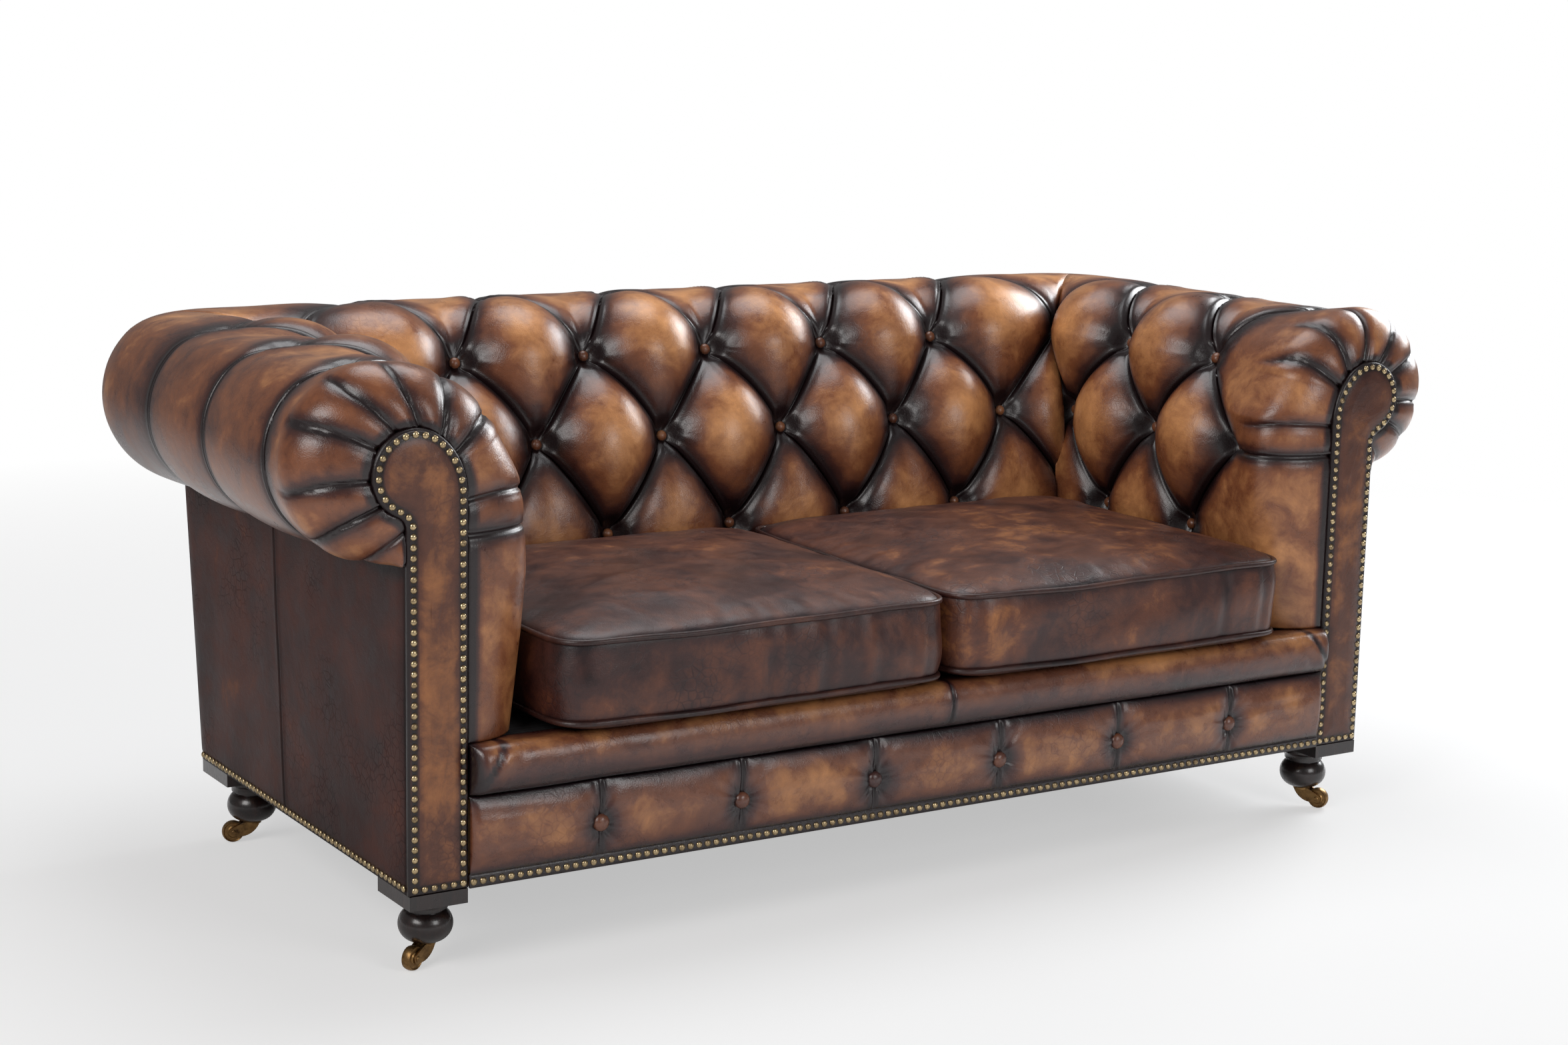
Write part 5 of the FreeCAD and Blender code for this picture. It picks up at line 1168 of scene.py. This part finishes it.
def stud_tree():
    """Domed studs standing out at the points of a mesh, along its turn attribute."""
    tree, start, end = node_tree("studs", (
        ("NodeSocketFloat", "Width", 0.0095), ("NodeSocketFloat", "Dome", 0.0032),
        ("NodeSocketFloat", "Variation", 0.04), ("NodeSocketFloat", "Wear", 0.5),
        ("NodeSocketInt", "Segments", 12), ("NodeSocketInt", "Rings", 6), ("NodeSocketInt", "Seed", 3),
        ("NodeSocketMaterial", "Material", None)))
    given = start.outputs
    half = calculate(tree, "MULTIPLY", given["Width"], 0.5)
    ball = put(tree, "GeometryNodeMeshUVSphere", {"Segments": given["Segments"], "Rings": given["Rings"],
                                                  "Radius": half}).outputs["Mesh"]
    flat = calculate(tree, "DIVIDE", given["Dome"], half)
    scale = put(tree, "ShaderNodeCombineXYZ", {"X": 1.0, "Y": 1.0, "Z": flat}).outputs[0]
    dome = put(tree, "GeometryNodeTransform", {"Geometry": ball, "Scale": scale}).outputs[0]
    turn = put(tree, "GeometryNodeInputNamedAttribute", {"Name": "turn"}, data_type="FLOAT_VECTOR")
    align = put(tree, "FunctionNodeAlignRotationToVector", {"Vector": turn.outputs["Attribute"]}, axis="Z")
    vary = put(tree, "FunctionNodeRandomValue", {"Seed": given["Seed"]}, data_type="FLOAT")
    low, high = [socket for socket in vary.inputs if socket.type == "VALUE"][:2]
    tree.links.new(calculate(tree, "SUBTRACT", 1.0, given["Variation"]), low)
    tree.links.new(calculate(tree, "ADD", 1.0, given["Variation"]), high)
    size = next(socket for socket in vary.outputs if socket.type == "VALUE")
    copies = put(tree, "GeometryNodeInstanceOnPoints", {
        "Points": given["Geometry"], "Instance": dome, "Rotation": align.outputs[0], "Scale": size})
    real = put(tree, "GeometryNodeRealizeInstances", {"Geometry": copies.outputs[0]})
    soft = put(tree, "GeometryNodeSetShadeSmooth", {"Geometry": real.outputs[0]})
    worn = put(tree, "GeometryNodeStoreNamedAttribute", {
        "Geometry": soft.outputs[0], "Name": "crest", "Value": given["Wear"]},
        data_type="FLOAT", domain="POINT")
    paint = put(tree, "GeometryNodeSetMaterial", {"Geometry": worn.outputs[0],
                                                  "Material": given["Material"]})
    tree.links.new(paint.outputs[0], end.inputs["Geometry"])
    return tree


def studs(name, places, width, dome, segments, slot):
    """Studs at (point, outward direction) places, each a little larger or smaller than the next."""
    mesh = bpy.data.meshes.new(name + "_places")
    mesh.from_pydata([tuple(point) for point, _ in places], [], [])
    layer = mesh.attributes.new("turn", "FLOAT_VECTOR", "POINT")
    layer.data.foreach_set("vector", np.array([turn for _, turn in places], np.float32).ravel())
    tree = bpy.data.node_groups.get("studs") or stud_tree()
    return evaluated(new_piece(name + "_places", mesh), tree, {
        "Width": width, "Dome": dome, "Segments": segments, "Rings": segments // 2,
        "Variation": 0.03, "Material": bpy.data.materials[slot]}, name)


def cord_tree():
    """A round cord along a curve."""
    tree, start, end = node_tree("cords", (
        ("NodeSocketFloat", "Radius", 0.004), ("NodeSocketInt", "Sides", 10),
        ("NodeSocketMaterial", "Material", None)))
    circle = put(tree, "GeometryNodeCurvePrimitiveCircle", {"Resolution": start.outputs["Sides"],
                                                            "Radius": start.outputs["Radius"]})
    tube = put(tree, "GeometryNodeCurveToMesh", {"Curve": start.outputs["Geometry"],
                                                 "Profile Curve": circle.outputs[0]})
    real = put(tree, "GeometryNodeRealizeInstances", {"Geometry": tube.outputs[0]})
    soft = put(tree, "GeometryNodeSetShadeSmooth", {"Geometry": real.outputs[0]})
    paint = put(tree, "GeometryNodeSetMaterial", {"Geometry": soft.outputs[0],
                                                  "Material": start.outputs["Material"]})
    tree.links.new(paint.outputs[0], end.inputs["Geometry"])
    return tree


def cords(name, lines, radius, slot):
    """Closed round cords along lines of points."""
    curve = bpy.data.curves.new(name + "_lines", "CURVE")
    curve.dimensions = "3D"
    for line in lines:
        spline = curve.splines.new("POLY")
        spline.points.add(len(line) - 1)
        spline.points.foreach_set("co", np.column_stack([line, np.ones(len(line))]).ravel())
        spline.use_cyclic_u = True
    tree = bpy.data.node_groups.get("cords") or cord_tree()
    return evaluated(new_piece(name + "_lines", curve), tree,
                     {"Radius": radius, "Sides": 10, "Material": bpy.data.materials[slot]}, name)


def spaced(start, end):
    """Points at about the nails' pitch along a straight line."""
    start, end = np.array(start, float), np.array(end, float)
    count = max(2, round(np.linalg.norm(end - start) / NAIL_PITCH) + 1)
    return [start + (end - start) * share for share in np.linspace(0, 1, count)]


def facing_nail_places(side):
    """The nails round one facing and along its foot."""
    points, way = scroll(-NAIL_INSET)
    start, end = NAIL_INSET, way[-1] - NAIL_INSET
    count = round((end - start) / NAIL_PITCH) + 1
    ring = along(points, way, np.linspace(start, end, count))
    foot = spaced(ring[0], ring[-1])[1:-1]
    return [((side * x, FACE_Y + NAIL_SINK, z), (0, -1, 0)) for x, z in list(ring) + foot]


def base_nail_places():
    """The nails round the foot of the apron, the sides and the back."""
    height = BASE + NAIL_INSET
    front, rear = APRON_END - NAIL_INSET / 1.5, SIDE_X - 2 * PANEL
    face, side_x, back = FACE_Y - BAND_PROUD, SIDE_X + 0.0004, BACK_Y + 0.001
    rows = [((-front, face), (front, face), (0, -1, 0))]
    rows += [((side * side_x, FACE_Y + 2 * PANEL), (side * side_x, 0.2929), (side, 0, 0))
             for side in (-1, 1)]
    rows.append(((-rear, back), (rear, back), (0, 1, 0)))
    return [((*point, height), outward) for start, end, outward in rows for point in spaced(start, end)]


def tuft_places(columns, side=1, mirror=False):
    """The buttons' seats at (column, row) tufts, a little proud of the creases."""
    places = []
    for column, row in columns:
        point, outward = cover(column, row)
        for way in ((1, -1) if mirror and column else (side,)):
            flip = np.array([way, 1, 1])
            places.append(((point + outward * 0.0035) * flip, outward * flip))
    return places


def shade(red, green, blue):
    """A colour from screen values of 0 to 255."""
    return tuple((((value / 255) + 0.055) / 1.055) ** 2.4 for value in (red, green, blue))


# The colours that the materials are mixed round
COLOURS = {
    "tufted_leather": shade(130, 77, 47), "cushion_leather": shade(98, 55, 37),
    "panel_leather": shade(74, 38, 29), "seat_front_leather": shade(116, 69, 46),
    "trim_leather": shade(92, 53, 37), "nail_brass": shade(206, 184, 144),
    "caster_brass": shade(166, 130, 84), "dark_wood": shade(46, 24, 20)}


def toned(look, slot, *plain):
    """A material's tones from screen values, moved as far as its colour is moved from the plain one."""
    shares = [now / was for now, was in zip(getattr(look, slot), COLOURS[slot])]
    return [tuple(part * share for part, share in zip(shade(*tone), shares)) for tone in plain]


def leathers(look):
    """The sofa's leathers, by slot, from their darkest tone, reached in the painted shade of the folds, to
    where they are most rubbed.
    """
    leather("tufted_leather", toned(look, "tufted_leather", (28, 14, 16), (70, 36, 28), (130, 77, 47),
                                    (214, 150, 94)),
            wear=0.54, mottle=0.66, rough=0.32, crackle=0.12, crest=0.62, crease=1.0, coat=0.32)
    leather("cushion_leather", toned(look, "cushion_leather", (28, 14, 17), (60, 31, 27), (98, 55, 37),
                                     (182, 118, 64)),
            wear=0.44, mottle=0.95, rough=0.40, crackle=0.5, crest=0.35, crease=0.5, sheen=0.45,
            seed=3.1)
    leather("panel_leather", toned(look, "panel_leather", (24, 10, 9), (50, 23, 19), (74, 38, 29),
                                   (134, 82, 50)),
            wear=0.44, mottle=0.8, rough=0.54, crackle=0.5, crease=0.7, coat=0.0, sheen=0.28, seed=5.3)
    leather("seat_front_leather", toned(look, "seat_front_leather", (27, 13, 17), (70, 37, 32),
                                        (116, 69, 46), (198, 136, 82)),
            wear=0.48, mottle=0.7, rough=0.30, crackle=0.2, crest=0.5, crease=1.0, coat=0.4, seed=7.7)
    leather("trim_leather", toned(look, "trim_leather", (24, 11, 12), (57, 29, 24), (92, 53, 37),
                                  (168, 108, 62)),
            wear=0.45, mottle=0.8, rough=0.38, crackle=0.25, crest=0.4, crease=0.8, sheen=0.45, seed=9.2)


def hard_materials(look):
    """The sofa's metals, woods and cloths, by slot."""
    brass("nail_brass", toned(look, "nail_brass", (206, 184, 144), (100, 80, 60)), 0.26)
    brass("caster_brass", toned(look, "caster_brass", (166, 130, 84), (66, 48, 36)), 0.34, seed=2.0)
    wood("dark_wood", toned(look, "dark_wood", (16, 9, 9), (46, 24, 20)), (60, 60, 9), 0.3, 0.6)
    wood("frame_wood", (shade(128, 96, 62), shade(178, 142, 98)), (9, 60, 60), 0.6, 0.0)
    steel("spring_steel", shade(128, 126, 122))
    cloth("webbing", (shade(120, 98, 66), shade(178, 152, 110)), 320)
    cloth("lining_cloth", (shade(18, 17, 18), shade(42, 40, 42)), 420)


def dress(piece, slot, *nodes, body="sofa", fill=None):
    """Give a piece its material and its body, and hide the model's nodes that it stands for."""
    material = bpy.data.materials[slot]
    if piece.data.materials:
        piece.data.materials[0] = material
    else:
        piece.data.materials.append(material)
    if nodes:
        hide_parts(*nodes)
    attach(piece, body)
    return piece


class SofaLook(bpy.types.PropertyGroup):
    """Measures and colours of the covers."""

    pleat_arch: FloatProperty(name="Pleat Arch", description="Rise of a pleat between its buttons",
                              default=0.018, unit="LENGTH")
    puff: FloatProperty(name="Puff", description="Swell of a diamond above its pleats",
                        default=0.030, unit="LENGTH")
    puff_edge: FloatProperty(name="Puff Edge", description="How gently a puff leaves its pleats",
                             default=0.55, subtype="FACTOR")
    roll_puff: FloatProperty(name="Roll Puff", description="Swell between the pleats over the rolls",
                             default=0.0085, unit="LENGTH")
    gather_depth: FloatProperty(name="Gather Depth", description="Depth of the gathers round a facing",
                                default=0.0075, unit="LENGTH")
    apron_puff: FloatProperty(name="Apron Puff", description="Swell of the apron between its pleats",
                              default=0.0165, unit="LENGTH")
    cushion_crown: FloatProperty(name="Cushion Crown", description="Rise of a cushion above its piping",
                                 default=0.037, unit="LENGTH")
    cushion_border: FloatProperty(name="Cushion Border", description="Swell of a cushion's border",
                                  default=0.006, unit="LENGTH")
    cushion_wrinkle: FloatProperty(name="Cushion Wrinkle", description="Depth of the border's wrinkles",
                                   default=0.0016, unit="LENGTH")
    nail_width: FloatProperty(name="Nail Width", description="Width of a nail's head",
                              default=0.0095, unit="LENGTH")
    nail_dome: FloatProperty(name="Nail Dome", description="Height of a nail's head",
                             default=0.0032, unit="LENGTH")
    button_width: FloatProperty(name="Button Width", description="Width of a back or arm button",
                                default=0.017, unit="LENGTH")
    apron_button_width: FloatProperty(name="Apron Button Width", description="Width of an apron button",
                                      default=0.023, unit="LENGTH")
    light: FloatProperty(name="Light", description="Strength of the studio's lights", default=1.0)
    tufted_leather: FloatVectorProperty(
        name="Tufted Leather", description="Main colour of the back and the arms",
        default=COLOURS["tufted_leather"], subtype="COLOR", min=0, max=1)
    cushion_leather: FloatVectorProperty(
        name="Cushion Leather", description="Main colour of the seat cushions",
        default=COLOURS["cushion_leather"], subtype="COLOR", min=0, max=1)
    panel_leather: FloatVectorProperty(
        name="Panel Leather", description="Main colour of the sides and the back panel",
        default=COLOURS["panel_leather"], subtype="COLOR", min=0, max=1)
    seat_front_leather: FloatVectorProperty(
        name="Seat Front Leather", description="Main colour of the apron and the edge roll",
        default=COLOURS["seat_front_leather"], subtype="COLOR", min=0, max=1)
    trim_leather: FloatVectorProperty(
        name="Trim Leather", description="Main colour of the facings and the piping",
        default=COLOURS["trim_leather"], subtype="COLOR", min=0, max=1)
    nail_brass: FloatVectorProperty(
        name="Nail Brass", description="Brighter colour of the nails",
        default=COLOURS["nail_brass"], subtype="COLOR", min=0, max=1)
    caster_brass: FloatVectorProperty(
        name="Caster Brass", description="Brighter colour of the casters",
        default=COLOURS["caster_brass"], subtype="COLOR", min=0, max=1)
    dark_wood: FloatVectorProperty(
        name="Dark Wood", description="Lighter colour of the feet's wood",
        default=COLOURS["dark_wood"], subtype="COLOR", min=0, max=1)


class SOFA_OT_materials(bpy.types.Operator):
    """Make the materials and give them to the model's own pieces"""

    bl_idname = "sofa.materials"
    bl_label = "Materials"

    def execute(self, context):
        for plain in bpy.data.materials[:]:
            bpy.data.materials.remove(plain)
        leathers(context.scene.sofa_look)
        hard_materials(context.scene.sofa_look)
        slots = {part["node"]: part["material_slot"] for part in frame["record"]["subparts"]}
        for name, node in frame["nodes"].items():
            node.data.materials.clear()
            node.data.materials.append(bpy.data.materials[slots[name]])
        return {"FINISHED"}


class SOFA_OT_tufted_pads(bpy.types.Operator):
    """Make the tufted covers of the back and the arms"""

    bl_idname = "sofa.tufted_pads"
    bl_label = "Tufted Pads"

    def execute(self, context):
        look = context.scene.sofa_look
        dress(back_cover(look).piece("back_cover"), "tufted_leather", "back_pad", fill=0.8)
        for side, name in SIDES:
            dress(arm_cover(look, side).piece("arm_cover_" + name), "tufted_leather",
                  "arm_pad_" + name, fill=0.8)
        return {"FINISHED"}


class SOFA_OT_panels(bpy.types.Operator):
    """Make the covers of the arm facings and of the outside of the arms and back"""

    bl_idname = "sofa.panels"
    bl_label = "Facings and Panels"

    def execute(self, context):
        for side, name in SIDES:
            dress(facing_cover(side), "trim_leather", "arm_facing_" + name)
            dress(side_panel(side), "panel_leather", "outside_arm_panel_" + name)
        dress(back_panel(), "panel_leather", "outside_back_panel")
        return {"FINISHED"}


class SOFA_OT_seat_front(bpy.types.Operator):
    """Make the apron, the roll along the front of the seat and the deck behind it"""

    bl_idname = "sofa.seat_front"
    bl_label = "Apron, Edge Roll and Deck"

    def execute(self, context):
        look = context.scene.sofa_look
        dress(apron_cover(look), "seat_front_leather", "apron_panel", fill=0.7)
        dress(edge_roll(), "seat_front_leather", "seat_edge_roll", fill=0.8)
        dress(deck_cover(), "lining_cloth", "seat_deck_pad", fill=0.8)
        return {"FINISHED"}


class SOFA_OT_cushions(bpy.types.Operator):
    """Make the two loose seat cushions and their piping"""

    bl_idname = "sofa.cushions"
    bl_label = "Seat Cushions"

    def execute(self, context):
        look = context.scene.sofa_look
        for side, name in SIDES:
            body = "cushion_" + name
            dress(cushion_cover("cushion_cover_" + name, side, look), "cushion_leather",
                  "seat_cushion_" + name, body=body, fill=0.75)
            dress(cords("cushion_welt_" + name, piping_path(side), PIPE_RADIUS, "trim_leather"),
                  "trim_leather", "cushion_piping_" + name, body=body)
        return {"FINISHED"}


class SOFA_OT_studs(bpy.types.Operator):
    """Make the leather buttons and the brass nails"""

    bl_idname = "sofa.studs"
    bl_label = "Buttons and Nails"

    def execute(self, context):
        look = context.scene.sofa_look
        tufts = [(column, row) for column in (0, 1, 2) for row in (1, 3)]
        tufts += [(column + 0.5, 2) for column in (0, 1, 2)]
        button = (look.button_width, 0.0065, 24, "tufted_leather")
        nail = (look.nail_width, look.nail_dome, 12, "nail_brass")
        dress(studs("back_button_covers", tuft_places(tufts, mirror=True), *button), "tufted_leather",
              "back_buttons")
        tufts = [(column, row) for column in (4, 5) for row in (1, 3)]
        tufts += [(column + 0.5, 2) for column in (3, 4, 5)]
        for side, name in SIDES:
            dress(studs("arm_button_covers_" + name, tuft_places(tufts, side), *button),
                  "tufted_leather", "arm_buttons_" + name)
            dress(studs("facing_nail_heads_" + name, facing_nail_places(side), *nail), "nail_brass",
                  "facing_nails_" + name)
        apron = [((x, FACE_Y - 0.0050, APRON_BUTTON_Z), (0, -1, 0)) for x in APRON_PLEATS]
        dress(studs("apron_button_covers", apron, look.apron_button_width, 0.0075, 24,
                    "seat_front_leather"), "seat_front_leather", "apron_buttons")
        dress(studs("base_nail_heads", base_nail_places(), *nail), "nail_brass", "base_nails")
        return {"FINISHED"}


def area_light(name, place, aim, size, power, tint):
    """A square soft light, turned towards a point."""
    data = bpy.data.lights.new(name, "AREA")
    data.size, data.energy, data.color = size, power, tint
    light = new_piece(name, data)
    light.location = place
    light.rotation_euler = (Vector(aim) - Vector(place)).to_track_quat("-Z", "Y").to_euler()


# Where the photograph was taken from, and its turns in degrees
CAMERA_PLACE = (-2.1614, -3.42655, 1.2178)
CAMERA_YAW, CAMERA_PITCH, CAMERA_ROLL = 32.372, 10.721, 1.21811


def photo_camera():
    """The camera that took the photograph."""
    data = bpy.data.cameras.new("photo_camera")
    data.lens, data.sensor_width = 62.85, 36
    yaw, pitch, roll = (math.radians(turn) for turn in (CAMERA_YAW, CAMERA_PITCH, CAMERA_ROLL))
    ahead = Vector((math.sin(yaw) * math.cos(pitch), math.cos(yaw) * math.cos(pitch),
                    -math.sin(pitch)))
    right = Vector((math.cos(yaw), -math.sin(yaw), 0))
    up = right.cross(ahead)
    right, up = (math.cos(roll) * right + math.sin(roll) * up,
                 math.cos(roll) * up - math.sin(roll) * right)
    camera = new_piece("photo_camera", data)
    camera.matrix_world = Matrix.Translation(CAMERA_PLACE) @ Matrix(
        (right, up, -ahead)).transposed().to_4x4()
    bpy.context.scene.camera = camera


class SOFA_OT_stage(bpy.types.Operator):
    """Make the floor, the white surround, the lights and the camera"""

    bl_idname = "sofa.stage"
    bl_label = "Stage"

    def execute(self, context):
        strength = context.scene.sofa_look.light
        half = 20
        mesh = bpy.data.meshes.new("floor")
        mesh.from_pydata([(-half, -half, 0), (half, -half, 0), (half, half, 0), (-half, half, 0)], [],
                         [(0, 1, 2, 3)])
        floor = new_piece("floor", mesh)
        tree, shader = new_material("floor")
        shader.inputs["Base Color"].default_value = (0.86, 0.86, 0.86, 1)
        shader.inputs["Roughness"].default_value = 0.9
        shader.inputs["Specular IOR Level"].default_value = 0.1
        seen = put(tree, "ShaderNodeLightPath").outputs["Is Camera Ray"]
        place = put(tree, "ShaderNodeTexCoord").outputs["Object"]
        away = put(tree, "ShaderNodeVectorMath", {0: place}, operation="LENGTH").outputs["Value"]
        share = put(tree, "ShaderNodeMapRange", {"Value": away, "From Min": 1.0, "From Max": 3.6,
                                                 "To Min": 0.5, "To Max": 1.0}).outputs[0]
        white = put(tree, "ShaderNodeEmission", {"Color": (1, 1, 1, 1), "Strength": 1.0}).outputs[0]
        mixed = put(tree, "ShaderNodeMixShader", {0: calculate(tree, "MULTIPLY", seen, share),
                                                  1: shader.outputs[0], 2: white}).outputs[0]
        tree.links.new(mixed, tree.nodes["Material Output"].inputs["Surface"])
        mesh.materials.append(bpy.data.materials["floor"])
        world = bpy.data.worlds.new("studio")
        context.scene.world = world
        world.use_nodes = True
        tree = world.node_tree
        surround = tree.nodes["Background"]
        surround.inputs["Color"].default_value = (1, 1, 1, 1)
        seen = put(tree, "ShaderNodeLightPath").outputs["Is Camera Ray"]
        tree.links.new(calculate(tree, "MULTIPLY_ADD", seen, 1 - 0.2 * strength, 0.2 * strength),
                       surround.inputs["Strength"])
        area_light("front_left_softbox", (-3.4, -1.6, 2.4), (0, 0, 0.45), 1.8, 62 * strength,
                   (1.0, 0.98, 0.97))
        area_light("overhead_softbox", (0.2, 0.6, 3.2), (0, 0, 0.5), 2.0, 42 * strength,
                   (0.97, 0.98, 1.0))
        area_light("right_softbox", (3.3, 0.5, 1.9), (0, 0, 0.5), 1.8, 100 * strength,
                   (0.96, 0.98, 1.0))
        area_light("front_softbox", (0.8, -4.2, 2.0), (0, 0, 0.4), 1.6, 40 * strength, (1, 1, 1))
        photo_camera()
        context.scene.view_settings.view_transform = "Standard"
        return {"FINISHED"}


OPERATORS = (SOFA_OT_materials, SOFA_OT_tufted_pads, SOFA_OT_panels, SOFA_OT_seat_front,
             SOFA_OT_cushions, SOFA_OT_studs, SOFA_OT_stage)


class SOFA_PT_panel(bpy.types.Panel):
    """The sofa's measures and colours, and the steps that make its covers"""

    bl_idname = "SOFA_PT_panel"
    bl_label = "Chesterfield Sofa"
    bl_space_type = "VIEW_3D"
    bl_region_type = "UI"
    bl_category = "Sofa"

    def draw(self, context):
        look = context.scene.sofa_look
        for name in SofaLook.__annotations__:
            self.layout.prop(look, name)
        for operator in OPERATORS:
            self.layout.operator(operator.bl_idname)


CLASSES = (SofaLook,) + OPERATORS + (SOFA_PT_panel,)


def register():
    """Add the measures and colours, the operators and the panel."""
    for item in CLASSES:
        bpy.utils.register_class(item)
    bpy.types.Scene.sofa_look = PointerProperty(type=SofaLook)


def unregister():
    """Take them away again."""
    del bpy.types.Scene.sofa_look
    for item in reversed(CLASSES):
        bpy.utils.unregister_class(item)


def main():
    """Dress the sofa."""
    register()
    for operator in OPERATORS:
        group, step = operator.bl_idname.split(".")
        getattr(getattr(bpy.ops, group), step)()


if __name__ == "__main__":
    main()
